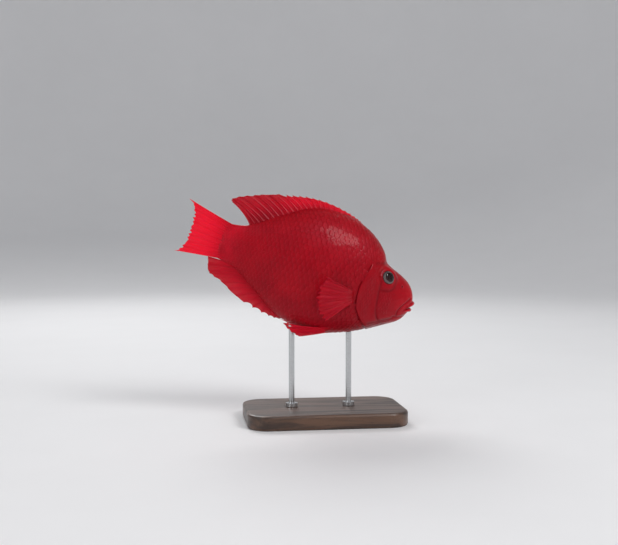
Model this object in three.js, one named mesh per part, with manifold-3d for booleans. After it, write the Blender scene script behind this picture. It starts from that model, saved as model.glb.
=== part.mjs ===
// A blood parrot cichlid at life size, swimming nose-down over a plain display stand.
// Millimetres, +Z up. The fish heads towards +X, and the origin is under the middle of the base.
import * as THREE from "three";
import { mergeVertices } from "three/addons/utils/BufferGeometryUtils.js";
import Module from "manifold-3d";

const wasm = await Module();
wasm.setup();

// Driving dimensions. A station is the distance behind the tip of the lips, and a height is
// measured from the line that joins that tip to the middle of the tail stalk.
const pitchDegrees = 17;
const fishPlace = { x: 78, z: 101 };
const gap = 0.32;
const ringSides = 36;

const backLine = [
  [2.2, -4], [2.8, 0.5], [4.8, 5.6], [8, 9.7], [13, 13.5], [20, 16.8], [27, 19.6], [33, 22.8],
  [38.5, 31], [48, 40], [60, 46.4], [78, 50.3], [95, 49.6], [112, 44], [130, 33], [146, 22.2], [156, 17.4], [164, 16],
];
const bellyLine = [
  [2.2, -6.5], [2.8, -10.5], [4.5, -15], [7, -19.4], [11, -23.4], [17, -27.2], [28, -33.2],
  [41, -40], [62, -48], [80, -51.2], [97, -49.6], [112, -44], [130, -32.8], [146, -22.4], [156, -17.8], [164, -16.4],
];
const halfWidthLine = [
  [2.2, 3.4], [2.8, 5.4], [4.8, 8], [8, 10.4], [13, 12.9], [20, 15.6], [30, 18.8], [42, 22.2],
  [54, 24.6], [68, 25.8], [84, 25.2], [100, 22.6], [116, 18], [132, 12.8], [148, 8.2], [156, 5.8], [164, 3.2],
];
// Where up each section the fish is widest, from 0 at the belly to 1 at the back.
const widestShare = [[2.2, 0.5], [20, 0.46], [45, 0.46], [80, 0.5], [130, 0.52], [164, 0.5]];
// 2 is an ellipse, less is a sharper ridge or keel, and more is a fuller one.
const backFullness = [[2.2, 2], [30, 2.15], [48, 2.2], [80, 1.85], [130, 1.75], [164, 1.9]];
const bellyFullness = [[2.2, 2], [30, 2], [62, 2.1], [92, 2], [120, 1.75], [164, 1.9]];

const colours = {
  skin: new THREE.MeshStandardMaterial({ color: 0x9c0717, roughness: 0.38, metalness: 0 }),
  cover: new THREE.MeshStandardMaterial({ color: 0xa50a1b, roughness: 0.34, metalness: 0 }),
  lip: new THREE.MeshStandardMaterial({ color: 0xb2182a, roughness: 0.4, metalness: 0 }),
  fin: new THREE.MeshStandardMaterial({ color: 0xd8122e, roughness: 0.42, metalness: 0 }),
  eye: new THREE.MeshStandardMaterial({ color: 0x0c0d10, roughness: 0.08, metalness: 0 }),
  wood: new THREE.MeshStandardMaterial({ color: 0x3a241a, roughness: 0.45, metalness: 0 }),
  steel: new THREE.MeshStandardMaterial({ color: 0xb4b6b8, roughness: 0.3, metalness: 1 }),
};

// A smooth line through a few points, with slopes limited so that it never overshoots them.
function smoothLine(points) {
  const steps = points.slice(1).map(([x, y], i) => (y - points[i][1]) / (x - points[i][0]));
  const slopes = points.map((_, i) => {
    const before = steps[i - 1] ?? steps[i];
    const after = steps[i] ?? steps[i - 1];
    return before * after <= 0 ? 0 : (2 * before * after) / (before + after);
  });
  return (x) => {
    const last = points.length - 2;
    const i = Math.min(last, Math.max(0, points.findIndex(([px]) => px > x) - 1));
    const k = x >= points[last + 1][0] ? last : i;
    const [x0, y0] = points[k];
    const [x1, y1] = points[k + 1];
    const span = x1 - x0;
    const t = Math.min(1, Math.max(0, (x - x0) / span));
    const rise = 3 * t * t - 2 * t * t * t;
    const start = t * (1 - t) * (1 - t);
    const end = t * t * (t - 1);
    return y0 + (y1 - y0) * rise + span * (slopes[k] * start + slopes[k + 1] * end);
  };
}

const backAt = smoothLine(backLine);
const bellyAt = smoothLine(bellyLine);
const halfWidthAt = smoothLine(halfWidthLine);
const widestAt = smoothLine(widestShare);
const backFullnessAt = smoothLine(backFullness);
const bellyFullnessAt = smoothLine(bellyFullness);

// One point of the body's surface: round it by an angle, 0 on the fish's left and a quarter turn on its back.
function bodyPoint(station, angle, swell = 0) {
  const top = backAt(station) + swell;
  const bottom = bellyAt(station) - swell;
  const widest = bottom + (top - bottom) * widestAt(station);
  const up = Math.sin(angle);
  const side = Math.cos(angle);
  const fullness = up >= 0 ? backFullnessAt(station) : bellyFullnessAt(station);
  const reach = up >= 0 ? top - widest : widest - bottom;
  const rounded = (v) => Math.sign(v) * Math.abs(v) ** (2 / fullness);
  return new THREE.Vector3(-station, (halfWidthAt(station) + swell) * rounded(side), widest + reach * rounded(up));
}

// How far the flank lies from the middle plane at a station and height.
function flankAt(station, height) {
  const top = backAt(station);
  const bottom = bellyAt(station);
  const widest = bottom + (top - bottom) * widestAt(station);
  const above = height >= widest;
  const share = Math.min(1, Math.abs(height - widest) / (above ? top - widest : widest - bottom));
  const fullness = above ? backFullnessAt(station) : bellyFullnessAt(station);
  return halfWidthAt(station) * (1 - share ** fullness) ** (1 / fullness);
}

function geometryFrom(points, triangles) {
  const geometry = new THREE.BufferGeometry().setFromPoints(points);
  geometry.setIndex(triangles);
  return geometry;
}

// Rings of the same count of points, skinned from the first to the last and closed at both ends.
function loft(rings) {
  const count = rings[0].length;
  const points = rings.flat();
  const triangles = [];
  for (let r = 0; r + 1 < rings.length; r++) {
    for (let i = 0; i < count; i++) {
      const a = r * count + i;
      const b = r * count + ((i + 1) % count);
      triangles.push(a, b, a + count, b, b + count, a + count);
    }
  }
  const middleOf = (ring) => ring.reduce((sum, p) => sum.add(p), new THREE.Vector3()).divideScalar(count);
  const front = points.push(middleOf(rings[0])) - 1;
  const back = points.push(middleOf(rings.at(-1))) - 1;
  const lastRing = (rings.length - 1) * count;
  for (let i = 0; i < count; i++) {
    const next = (i + 1) % count;
    triangles.push(front, next, i, back, lastRing + i, lastRing + next);
  }
  return geometryFrom(points, triangles);
}

// A closed geometry as a solid that can be joined and cut.
function solid(geometry) {
  const bare = geometry.clone();
  bare.deleteAttribute("normal");
  bare.deleteAttribute("uv");
  const merged = mergeVertices(bare, 1e-4);
  const made = new wasm.Manifold(
    new wasm.Mesh({
      numProp: 3,
      vertProperties: new Float32Array(merged.attributes.position.array),
      triVerts: new Uint32Array(merged.index.array),
    }),
  );
  if (made.volume() > 0) return made;
  const turned = merged.index.array.slice();
  for (let i = 0; i < turned.length; i += 3) [turned[i + 1], turned[i + 2]] = [turned[i + 2], turned[i + 1]];
  merged.setIndex([...turned]);
  return solid(merged);
}

function geometryOf(made) {
  const largest = made.decompose().sort((a, b) => b.volume() - a.volume())[0];
  const mesh = largest.getMesh();
  const geometry = new THREE.BufferGeometry();
  geometry.setAttribute("position", new THREE.BufferAttribute(new Float32Array(mesh.vertProperties), 3));
  geometry.setIndex(new THREE.BufferAttribute(new Uint32Array(mesh.triVerts), 1));
  return geometry;
}

const bodyStations = [
  2.2, 2.8, 4.8, 8, 12, 16.5, 21.5, 27, 30.5, 33, 35.5, 38.5, 43, 48, 54, 61,
  69, 78, 87, 96, 105, 114, 123, 132, 141, 150, 157, 164,
];

// The whole body without fins, swollen or shrunk by a distance that may change along it.
function bodySolid(swellAt = () => 0) {
  const rings = bodyStations.map((station, i) => {
    const swell = swellAt(station);
    const ring = Array.from({ length: ringSides }, (_, k) => bodyPoint(station, (k * 2 * Math.PI) / ringSides, swell));
    const end = i === 0 ? swell : i === bodyStations.length - 1 ? -swell : 0;
    return ring.map((p) => p.setX(p.x + end));
  });
  return solid(loft(rings));
}

// A side-view outline, given as [station, height], taken right through the fish.
const throughWidth = 120;
function throughFish(outline) {
  const shape = new THREE.Shape(outline.map(([station, height]) => new THREE.Vector2(-station, height)));
  const slab = new THREE.ExtrudeGeometry(shape, { depth: throughWidth, bevelEnabled: false });
  slab.rotateX(Math.PI / 2).translate(0, throughWidth / 2, 0);
  return solid(slab);
}

// The same outline with every edge moved outwards by a distance.
function pushedOut(outline, distance) {
  const turn = Math.sign(THREE.ShapeUtils.area(outline.map(([x, y]) => new THREE.Vector2(x, y))));
  const normalAfter = (i) => {
    const [x0, y0] = outline.at(i % outline.length);
    const [x1, y1] = outline.at((i + 1) % outline.length);
    return new THREE.Vector2(y1 - y0, x0 - x1).normalize().multiplyScalar(turn);
  };
  return outline.map(([x, y], i) => {
    const before = normalAfter(i - 1);
    const after = normalAfter(i);
    const mitre = before.clone().add(after).multiplyScalar(distance / (1 + before.dot(after)));
    return [x + mitre.x, y + mitre.y];
  });
}

// A few points joined by a smooth curve, either open or closed on itself.
function smoothed(points, count, closed = false) {
  const curve = new THREE.CatmullRomCurve3(points.map(([x, y]) => new THREE.Vector3(x, y, 0)), closed, "centripetal");
  const places = curve.getPoints(count).map((p) => [p.x, p.y]);
  return closed ? places.slice(0, -1) : places;
}

function sphere(radius, place, squash = [1, 1, 1], detail = 16) {
  const ball = new THREE.SphereGeometry(radius, detail, Math.round(detail * 0.7));
  return solid(ball.scale(...squash).translate(place.x, place.y, place.z));
}

// Keeps what lies on the fish's left (1) or right (-1).
function onSide(made, side) {
  const box = new THREE.BoxGeometry(400, 200, 400).translate(-80, 100 * side, 0);
  return made.intersect(solid(box));
}

// The gill cover's free rear edge, which parts the head from the trunk, from the nape to the throat.
const gillEdge = [[43, 60], [45, 34], [47, 20], [51.5, 6], [54, -7], [52.5, -18], [46.5, -27], [38, -33.5], [29, -40], [25, -56]];
const gillCover = {
  outline: [
    [41.5, 15.5], [44.5, 17.4], [47, 14], [51.2, 5.5], [53.6, -7], [52, -17.6], [46, -26.4], [38, -32.4], [31, -31.6],
    [33.5, -25], [36, -16], [38, -6], [39.6, 5],
  ],
  frontStation: 37,
  rearStation: 52,
  raisedBehind: 1,
  depth: 2.6,
};
// The lips meet on a line that runs back and down from the front of the snout to the corner of the mouth.
const mouth = {
  front: { station: 1.6, height: -7.4 },
  corner: { station: 10.2, height: -12.6 },
  halfWidth: 7.7,
  lipRadius: 2.1,
  cornerRadius: 0.5,
  lipRise: 1.5,
  lowerSetBack: 0.9,
  open: 1.1,
  openHalfWidth: 4.4,
  cavityDepth: 7,
};
const jawOutline = [
  [-8, -6.6], [mouth.front.station, mouth.front.height], [mouth.corner.station, mouth.corner.height],
  [15, -17.5], [20, -21.6], [25.5, -40], [-8, -40],
];
const eye = {
  station: 31,
  height: 10.2,
  radius: 7.2,
  flattened: 0.84,
  sunk: 3.3,
  rimRadius: 6.9,
  rimThickness: 1.3,
  rimProud: 0.15,
  outwards: new THREE.Vector3(0.32, 1, 0.38).normalize(),
};
const nostril = { station: 16.5, height: 6.2, radius: 0.95, rim: 0.55, depth: 1.6 };
const stalkStation = 141;

function mirrored(vector, side) {
  return new THREE.Vector3(vector.x, vector.y * side, vector.z);
}

// A shape made round the origin, its +Z turned to point along a direction, then put in place.
function aimed(geometry, direction, place) {
  const turn = new THREE.Quaternion().setFromUnitVectors(new THREE.Vector3(0, 0, 1), direction);
  return geometry.applyQuaternion(turn).translate(place.x, place.y, place.z);
}

function eyePlace(side) {
  const surface = new THREE.Vector3(-eye.station, flankAt(eye.station, eye.height) * side, eye.height);
  return surface.addScaledVector(mirrored(eye.outwards, side), -eye.sunk);
}

function eyeball(side, grown = 0) {
  const ball = new THREE.SphereGeometry(eye.radius + grown, 20, 10).rotateX(Math.PI / 2);
  ball.scale(1, 1, eye.flattened);
  return solid(aimed(ball, mirrored(eye.outwards, side), eyePlace(side)));
}

// The fold of skin round an eye, standing a little proud of the head.
function eyeRim(side) {
  const ring = new THREE.TorusGeometry(eye.rimRadius, eye.rimThickness, 6, 20).scale(1, 1, 0.75);
  const place = eyePlace(side).addScaledVector(mirrored(eye.outwards, side), eye.sunk + eye.rimProud);
  return solid(aimed(ring, mirrored(eye.outwards, side), place));
}

function nostrilPlace(side) {
  return new THREE.Vector3(-nostril.station, flankAt(nostril.station, nostril.height) * side, nostril.height);
}

function nostrilRim(side) {
  const ring = new THREE.TorusGeometry(nostril.radius, nostril.rim, 6, 10);
  const outwards = new THREE.Vector3(0.35, side, 0.45).normalize();
  return solid(aimed(ring, outwards, nostrilPlace(side)));
}

function nostrilPit(side) {
  return sphere(nostril.radius, nostrilPlace(side), [1, nostril.depth, 1], 10);
}

// A round-sectioned tube along a path of points, its radius given at each of them.
function taperedTube(path, radii, sides) {
  const curve = new THREE.CatmullRomCurve3(path);
  const frames = curve.computeFrenetFrames(path.length - 1);
  return solid(loft(path.map((_, i) => {
    const centre = curve.getPoint(i / (path.length - 1));
    return Array.from({ length: sides }, (_, k) => {
      const angle = (k * 2 * Math.PI) / sides;
      return centre.clone()
        .addScaledVector(frames.normals[i], radii[i] * Math.cos(angle))
        .addScaledVector(frames.binormals[i], radii[i] * Math.sin(angle));
    });
  })));
}

// One lip, from one corner of the mouth round the front to the other.
const lipSteps = 14;
function lip(isUpper) {
  const path = [];
  const radii = [];
  for (let i = 0; i <= lipSteps; i++) {
    const round = ((i / lipSteps) * 2 - 1) * (Math.PI / 2);
    const back = 1 - Math.cos(round);
    const setBack = isUpper ? 0 : mouth.lowerSetBack;
    const station = THREE.MathUtils.lerp(mouth.front.station + setBack, mouth.corner.station, back);
    const height = THREE.MathUtils.lerp(mouth.front.height, mouth.corner.height, back);
    const rise = mouth.lipRise * (1 - 0.5 * back) * (isUpper ? 1 : -1);
    path.push(new THREE.Vector3(-station, mouth.halfWidth * Math.sin(round), height + rise));
    radii.push(THREE.MathUtils.lerp(mouth.lipRadius, mouth.cornerRadius, back));
  }
  return taperedTube(path, radii, 8);
}

const wholeBody = bodySolid();
const bodyWithGap = bodySolid(() => gap + 0.05);

// The dark of the mouth, which never quite shuts.
function mouthCavity() {
  const squash = [mouth.cavityDepth, mouth.openHalfWidth, mouth.open];
  return sphere(1, new THREE.Vector3(-mouth.front.station, 0, mouth.front.height), squash, 14);
}

const headOutline = [...smoothed(gillEdge, 20), [-20, -56], [-20, 60]];
const coverOutline = smoothed(gillCover.outline, 28, true);

// One gill cover: a thin plate flush with the cheek in front, and standing proud of the trunk at its free rear edge.
function gillCoverSolid(side, grown = 0) {
  const raised = (station) => {
    const share = THREE.MathUtils.smoothstep(station, gillCover.frontStation, gillCover.rearStation);
    return gillCover.raisedBehind * share + 3 * grown;
  };
  const shell = bodySolid(raised).subtract(bodySolid(() => -gillCover.depth - 1.2 * grown));
  const plate = shell.intersect(throughFish(pushedOut(coverOutline, grown)));
  return onSide(plate, side);
}

function headSolid() {
  let head = wholeBody.intersect(throughFish(headOutline)).add(lip(true));
  for (const side of [1, -1]) {
    head = head.add(eyeRim(side)).add(nostrilRim(side));
  }
  for (const side of [1, -1]) {
    head = head.subtract(eyeball(side, gap)).subtract(nostrilPit(side)).subtract(gillCoverSolid(side, gap));
  }
  return head.subtract(throughFish(pushedOut(jawOutline, gap))).subtract(mouthCavity());
}

function lowerJawSolid() {
  return wholeBody.add(lip(false)).intersect(throughFish(jawOutline)).subtract(mouthCavity());
}

const stalkOutline = [[stalkStation, 70], [stalkStation, -70], [200, -70], [200, 70]];

function trunkSolid() {
  const behindHead = wholeBody.subtract(throughFish(pushedOut(headOutline, gap)));
  return behindHead.subtract(throughFish(pushedOut(stalkOutline, gap)));
}

function tailStalkSolid() {
  return wholeBody.intersect(throughFish(stalkOutline));
}

// A thin fin from a middle surface. Each ray is a ridge from its root to its tip, raised in the membrane's
// own surface, and between two spines the membrane's edge stops a little short of their tips.
// Both faces are split into the same triangles.
const rayShare = 0.2;
const notchLeast = 0.05;
function finSolid(fin) {
  const columns = [];
  for (let i = 0; i < fin.rays; i++) {
    const notch = fin.notch(i);
    const at = (offset, ridge, tipShare) => columns.push({ u: (i + offset) / (fin.rays - 1), ridge, tipShare });
    if (i > 0) at(-rayShare, 0, 1 - 0.4 * notch);
    at(0, 1, 1);
    if (i + 1 === fin.rays) break;
    at(rayShare, 0, 1 - 0.4 * notch);
    if (notch > notchLeast) at(0.5, 0, 1 - notch);
  }
  const rows = fin.rows;
  const faces = [1, -1].map((face) =>
    columns.flatMap(({ u, ridge, tipShare }) =>
      Array.from({ length: rows + 1 }, (_, r) => {
        const v = r / rows;
        const middle = fin.middle(u, v * tipShare);
        return middle.addScaledVector(fin.normal, face * fin.halfThickness(v, ridge));
      }),
    ),
  );
  const near = (c, r) => c * (rows + 1) + r;
  const far = (c, r) => columns.length * (rows + 1) + near(c, r);
  const triangles = [];
  const quad = (a, b, c, d) => triangles.push(a, b, c, a, c, d);
  const lastColumn = columns.length - 1;
  for (let c = 0; c < lastColumn; c++) {
    for (let r = 0; r < rows; r++) {
      triangles.push(near(c, r), near(c + 1, r), near(c + 1, r + 1), near(c, r), near(c + 1, r + 1), near(c, r + 1));
      triangles.push(far(c, r), far(c + 1, r + 1), far(c + 1, r), far(c, r), far(c, r + 1), far(c + 1, r + 1));
    }
    quad(near(c, 0), far(c, 0), far(c + 1, 0), near(c + 1, 0));
    quad(near(c, rows), near(c + 1, rows), far(c + 1, rows), far(c, rows));
  }
  for (let r = 0; r < rows; r++) {
    quad(near(0, r), near(0, r + 1), far(0, r + 1), far(0, r));
    quad(near(lastColumn, r), far(lastColumn, r), far(lastColumn, r + 1), near(lastColumn, r + 1));
  }
  return solid(geometryFrom(faces.flat(), triangles)).subtract(bodyWithGap);
}

// Fleshy at the root and thin at the edge, with each ray's ridge standing proud of the membrane.
const membraneHalf = 0.26;
const finFlesh = (base, rayBase, rayTip) => (v, ridge) =>
  membraneHalf + (base - membraneHalf) * (1 - v) ** 3 + ridge * THREE.MathUtils.lerp(rayBase, rayTip, v);

// The sideways sway of the fins behind the stalk, as in a slow turn.
const swayStart = 150;
const swayRate = 0.0028;
const swayAt = (station) => swayRate * Math.max(0, station - swayStart) ** 2;

const dorsal = {
  spines: 16,
  softRays: 11,
  start: 60,
  end: 151,
  edge: [[60, 46.2], [66, 49.8], [78, 53.4], [95, 55.4], [112, 55], [128, 52], [142, 48], [156, 43], [170.5, 36.5], [171.5, 33]],
};
const anal = {
  spines: 6,
  softRays: 9,
  start: 103,
  end: 154.5,
  edge: [[103, -47.8], [109, -49.2], [118, -48.4], [132, -45.4], [146, -40.6], [159, -33.4], [169.5, -29.4], [174, -26.8], [176.8, -15.8]],
};
const caudal = {
  rays: 17,
  rootStation: 158,
  rootHalf: 12.8,
  rearStation: 197,
  cornerStation: 204,
  upperCorner: 25,
  lowerCorner: -19,
};

// A fin on the middle plane: its roots step along the body's edge and its tips along the fin's own edge.
function medianFin(fin, bodyEdge, sunk) {
  const edgeAt = new THREE.SplineCurve(fin.edge.map(([s, h]) => new THREE.Vector2(s, h)));
  const count = fin.spines + fin.softRays;
  return finSolid({
    rays: count,
    rows: 4,
    notch: (i) => (i < fin.spines ? 0.17 : 0.02),
    normal: new THREE.Vector3(0, 1, 0),
    halfThickness: finFlesh(1.6, 0.42, 0.2),
    middle: (u, v) => {
      const rootStation = fin.start + (fin.end - fin.start) * u;
      const root = new THREE.Vector2(rootStation, bodyEdge(rootStation) - sunk);
      const tip = edgeAt.getPoint(u);
      const at = root.lerp(tip, v);
      return new THREE.Vector3(-at.x, swayAt(at.x), at.y);
    },
  });
}

function caudalFinSolid() {
  return finSolid({
    rays: caudal.rays,
    rows: 5,
    notch: () => 0.015,
    normal: new THREE.Vector3(0, 1, 0),
    halfThickness: finFlesh(1.9, 0.42, 0.22),
    middle: (u, v) => {
      const spread = 2 * u - 1;
      const rootHeight = -spread * caudal.rootHalf;
      const tipHeight = THREE.MathUtils.lerp(caudal.upperCorner, caudal.lowerCorner, u);
      const tipStation = caudal.rearStation + (caudal.cornerStation - caudal.rearStation) * spread ** 4;
      const station = THREE.MathUtils.lerp(caudal.rootStation, tipStation, v);
      const height = THREE.MathUtils.lerp(rootHeight, tipHeight, v ** 1.15);
      return new THREE.Vector3(-station, swayAt(station), height);
    },
  });
}

const pectoral = {
  rays: 12,
  station: 56,
  height: -12.5,
  rootHalf: 5.2,
  length: 36,
  spreadDegrees: 25,
  along: new THREE.Vector3(-0.87, 0.4, -0.3).normalize(),
  rootLine: new THREE.Vector3(-0.1, 0.1, 1),
  cup: 3,
  sunk: 2.6,
  elbow: 7,
};
// The pelvic fins are folded back under the belly. The outer ray is the longest and lies close to it,
// and the inner ray is the shortest and hangs lowest. Each ray bends at its elbow.
const pelvic = {
  rays: 6,
  station: 60,
  sunk: 2.6,
  outer: { side: 11.5, elbow: [78, 13.5, -48], tip: [104, 15.5, -49.3] },
  inner: { side: 3.9, elbow: [77, 6.5, -53.6], tip: [87, 9, -56.9] },
  fullness: 2,
};

// A paired fin: a fan of rays from a short root line on the flank, cupped a little.
function pairedFin(fin, side, lengthAt) {
  const along = mirrored(fin.along, side);
  const rootLine = mirrored(fin.rootLine, side);
  const normal = along.clone().cross(rootLine).normalize();
  const across = normal.clone().cross(along).normalize();
  const root = new THREE.Vector3(-fin.station, flankAt(fin.station, fin.height) * side, fin.height);
  return finSolid({
    rays: fin.rays,
    rows: 5,
    notch: () => 0.03,
    normal,
    halfThickness: finFlesh(1.2, 0.36, 0.2),
    middle: (u, v) => {
      const spread = 1 - 2 * u;
      const turn = THREE.MathUtils.degToRad(fin.spreadDegrees * spread);
      const reach = fin.length * lengthAt(u);
      const start = root.clone().addScaledVector(across, fin.rootHalf * spread);
      const tip = start.clone().addScaledVector(across, reach * Math.sin(turn)).addScaledVector(along, reach * Math.cos(turn));
      const elbow = start.clone().addScaledVector(along, fin.elbow * 0.5).add(new THREE.Vector3(0, side * fin.elbow, 0));
      start.y -= side * fin.sunk;
      const ray = new THREE.QuadraticBezierCurve3(start, elbow, tip);
      return ray.getPoint(v).addScaledVector(normal, side * fin.cup * v * v * spread * spread);
    },
  });
}

const pectoralLength = (u) => 0.62 + 0.38 * Math.sin(Math.PI * (0.2 + 0.62 * u)) ** 0.8;

// The height of the belly's surface at a station and a distance to the side.
function undersideAt(station, aside) {
  const widest = bellyAt(station) + (backAt(station) - bellyAt(station)) * widestAt(station);
  const share = Math.min(1, Math.abs(aside) / halfWidthAt(station));
  const fullness = bellyFullnessAt(station);
  return widest - (widest - bellyAt(station)) * (1 - share ** fullness) ** (1 / fullness);
}

function pelvicFin(side) {
  return finSolid({
    rays: pelvic.rays,
    rows: 6,
    notch: () => 0.05,
    normal: new THREE.Vector3(0, 0.62 * side, -0.78).normalize(),
    halfThickness: finFlesh(1.1, 0.36, 0.2),
    middle: (u, v) => {
      const between = (outer, inner) => THREE.MathUtils.lerp(outer, inner, u);
      const at = ([station, aside, height]) => new THREE.Vector3(-station, side * aside, height);
      const { outer, inner } = pelvic;
      const rootSide = between(outer.side, inner.side);
      const root = at([pelvic.station, rootSide, undersideAt(pelvic.station, rootSide) + pelvic.sunk]);
      const elbow = at(outer.elbow.map((value, i) => between(value, inner.elbow[i])));
      const tip = at(outer.tip.map((value, i) => between(value, inner.tip[i])));
      const ray = new THREE.QuadraticBezierCurve3(root, elbow, tip).getPoint(v);
      ray.z -= pelvic.fullness * Math.sin(Math.PI * u) * v * v;
      return ray;
    },
  });
}

const stand = {
  baseLength: 132,
  baseWidth: 84,
  baseHeight: 12,
  cornerRadius: 16,
  bevel: 1.8,
  rodRadius: 2.4,
  frontRodX: 21,
  backRodX: -27,
  collarRadius: 5,
  collarHeight: 3,
};

function baseGeometry() {
  const x = stand.baseLength / 2 - stand.bevel;
  const y = stand.baseWidth / 2 - stand.bevel;
  const r = stand.cornerRadius;
  const shape = new THREE.Shape();
  shape.moveTo(-x + r, -y).lineTo(x - r, -y).absarc(x - r, -y + r, r, -Math.PI / 2, 0);
  shape.lineTo(x, y - r).absarc(x - r, y - r, r, 0, Math.PI / 2);
  shape.lineTo(-x + r, y).absarc(-x + r, y - r, r, Math.PI / 2, Math.PI);
  shape.lineTo(-x, -y + r).absarc(-x + r, -y + r, r, Math.PI, Math.PI * 1.5);
  const slab = new THREE.ExtrudeGeometry(shape, {
    depth: stand.baseHeight - 2 * stand.bevel,
    bevelSize: stand.bevel,
    bevelThickness: stand.bevel,
    bevelSegments: 2,
    curveSegments: 6,
  });
  return slab.translate(0, 0, stand.bevel);
}

const fishGroup = new THREE.Group();
fishGroup.rotation.y = THREE.MathUtils.degToRad(pitchDegrees);
fishGroup.position.set(fishPlace.x, 0, fishPlace.z);
fishGroup.updateMatrix();

// A rod with a collar at its foot, cut off where it meets the belly.
function rodGeometry(x) {
  const foot = stand.baseHeight + gap;
  const height = fishPlace.z - foot;
  const rod = new THREE.CylinderGeometry(stand.rodRadius, stand.rodRadius, height, 16);
  rod.rotateX(Math.PI / 2).translate(x, 0, foot + height / 2);
  const collar = new THREE.CylinderGeometry(stand.collarRadius, stand.collarRadius, stand.collarHeight, 20);
  collar.rotateX(Math.PI / 2).translate(x, 0, foot + stand.collarHeight / 2);
  const body = solid(geometryOf(bodyWithGap).applyMatrix4(fishGroup.matrix));
  const parts = solid(rod).add(solid(collar)).subtract(body).decompose();
  return geometryOf(parts.sort((a, b) => a.boundingBox().min[2] - b.boundingBox().min[2])[0]);
}

const model = new THREE.Group();

function addPiece(parent, name, geometry, material) {
  const mesh = new THREE.Mesh(geometry, material);
  mesh.name = name;
  parent.add(mesh);
}

function addFish(name, made, material) {
  addPiece(fishGroup, name, geometryOf(made), material);
}

addFish("head", headSolid(), colours.skin);
addFish("lower_jaw", lowerJawSolid(), colours.lip);
addFish("trunk", trunkSolid(), colours.skin);
addFish("tail_stalk", tailStalkSolid(), colours.skin);
addFish("dorsal_fin", medianFin(dorsal, backAt, 1.6), colours.fin);
addFish("anal_fin", medianFin(anal, bellyAt, -1.6), colours.fin);
addFish("caudal_fin", caudalFinSolid(), colours.fin);
for (const [sideName, side] of [["left", 1], ["right", -1]]) {
  addFish(`eye_${sideName}`, eyeball(side), colours.eye);
  addFish(`gill_cover_${sideName}`, gillCoverSolid(side), colours.cover);
  addFish(`pectoral_fin_${sideName}`, pairedFin(pectoral, side, pectoralLength), colours.fin);
  addFish(`pelvic_fin_${sideName}`, pelvicFin(side), colours.fin);
}
model.add(fishGroup);
addPiece(model, "stand_base", baseGeometry(), colours.wood);
addPiece(model, "stand_rod_front", rodGeometry(stand.frontRodX), colours.steel);
addPiece(model, "stand_rod_back", rodGeometry(stand.backRodX), colours.steel);

export default model;
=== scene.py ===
# A life-size museum model of a blood parrot cichlid on its display stand.
import math
import bpy
import numpy as np
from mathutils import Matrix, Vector


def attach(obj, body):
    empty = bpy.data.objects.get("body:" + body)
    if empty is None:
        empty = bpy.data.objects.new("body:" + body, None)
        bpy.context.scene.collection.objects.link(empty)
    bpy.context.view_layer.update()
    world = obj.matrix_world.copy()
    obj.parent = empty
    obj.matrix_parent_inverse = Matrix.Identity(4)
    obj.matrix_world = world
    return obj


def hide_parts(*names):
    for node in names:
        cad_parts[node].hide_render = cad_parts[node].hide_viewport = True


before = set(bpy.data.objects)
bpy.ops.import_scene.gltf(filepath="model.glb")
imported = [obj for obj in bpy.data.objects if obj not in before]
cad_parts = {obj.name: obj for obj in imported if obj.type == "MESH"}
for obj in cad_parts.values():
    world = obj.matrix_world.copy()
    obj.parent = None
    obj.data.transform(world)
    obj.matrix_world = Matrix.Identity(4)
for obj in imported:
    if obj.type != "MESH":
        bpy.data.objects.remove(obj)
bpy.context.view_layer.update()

bpy.ops.object.select_all(action="DESELECT")
mm = 0.001
sides = {"left": 1, "right": -1}
print("frame loaded")

# The fish is measured along its axis, in mm: stations run back from the lips and heights up from the axis.
body = {
    "pitch": math.radians(17),
    "place": (78.0, 0.0, 101.0),
    "back": [(2.2, -4), (2.8, 0.5), (4.8, 5.6), (8, 9.7), (13, 13.5), (20, 16.8), (27, 19.6), (33, 22.8),
             (38.5, 31), (48, 40), (60, 46.4), (78, 50.3), (95, 49.6), (112, 44), (130, 33), (146, 22.2),
             (156, 17.4), (164, 16), (171, 15.4)],
    "belly": [(2.2, -6.5), (2.8, -10.5), (4.5, -15), (7, -19.4), (11, -23.4), (17, -27.2), (28, -33.2),
              (41, -40), (62, -48), (80, -51.2), (97, -49.6), (112, -44), (130, -32.8), (146, -22.4),
              (156, -17.8), (164, -16.4), (171, -14.8)],
    "halfWidth": [(2.2, 3.4), (2.8, 5.4), (4.8, 8), (8, 10.4), (13, 12.9), (20, 15.6), (30, 18.8), (42, 22.2),
                  (54, 24.6), (68, 25.8), (84, 25.2), (100, 22.6), (116, 18), (132, 12.8), (148, 8.2),
                  (156, 5.8), (164, 3.2), (171, 1.0)],
    "widest": [(2.2, 0.5), (20, 0.46), (45, 0.46), (80, 0.5), (130, 0.52), (164, 0.5)],
    "backFullness": [(2.2, 2), (30, 2.15), (48, 2.2), (80, 1.85), (130, 1.75), (164, 1.9)],
    "bellyFullness": [(2.2, 2), (30, 2), (62, 2.1), (92, 2), (120, 1.75), (164, 1.9)],
    "coat": 0.4,  # the bare skin lies this far inside the solids, under the scales
    "skinStart": 2.2, "skinEnd": 170.6,
    "swayStart": 150, "sway": 0.0028,
}


def smoothLine(points):
    xs, ys = np.array(points, dtype=float).T
    steps = np.diff(ys) / np.diff(xs)
    before, after = np.r_[steps[0], steps], np.r_[steps, steps[-1]]
    product = before * after
    slopes = np.where(product <= 0, 0, 2 * product / np.where(before + after == 0, 1, before + after))

    def at(x):
        x = np.asarray(x, dtype=float)
        k = np.clip(np.searchsorted(xs, x, side="right") - 1, 0, len(xs) - 2)
        span = xs[k + 1] - xs[k]
        t = np.clip((x - xs[k]) / span, 0, 1)
        rise = 3 * t * t - 2 * t ** 3
        bend = slopes[k] * t * (1 - t) ** 2 + slopes[k + 1] * t * t * (t - 1)
        return ys[k] + (ys[k + 1] - ys[k]) * rise + span * bend

    return at


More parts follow.
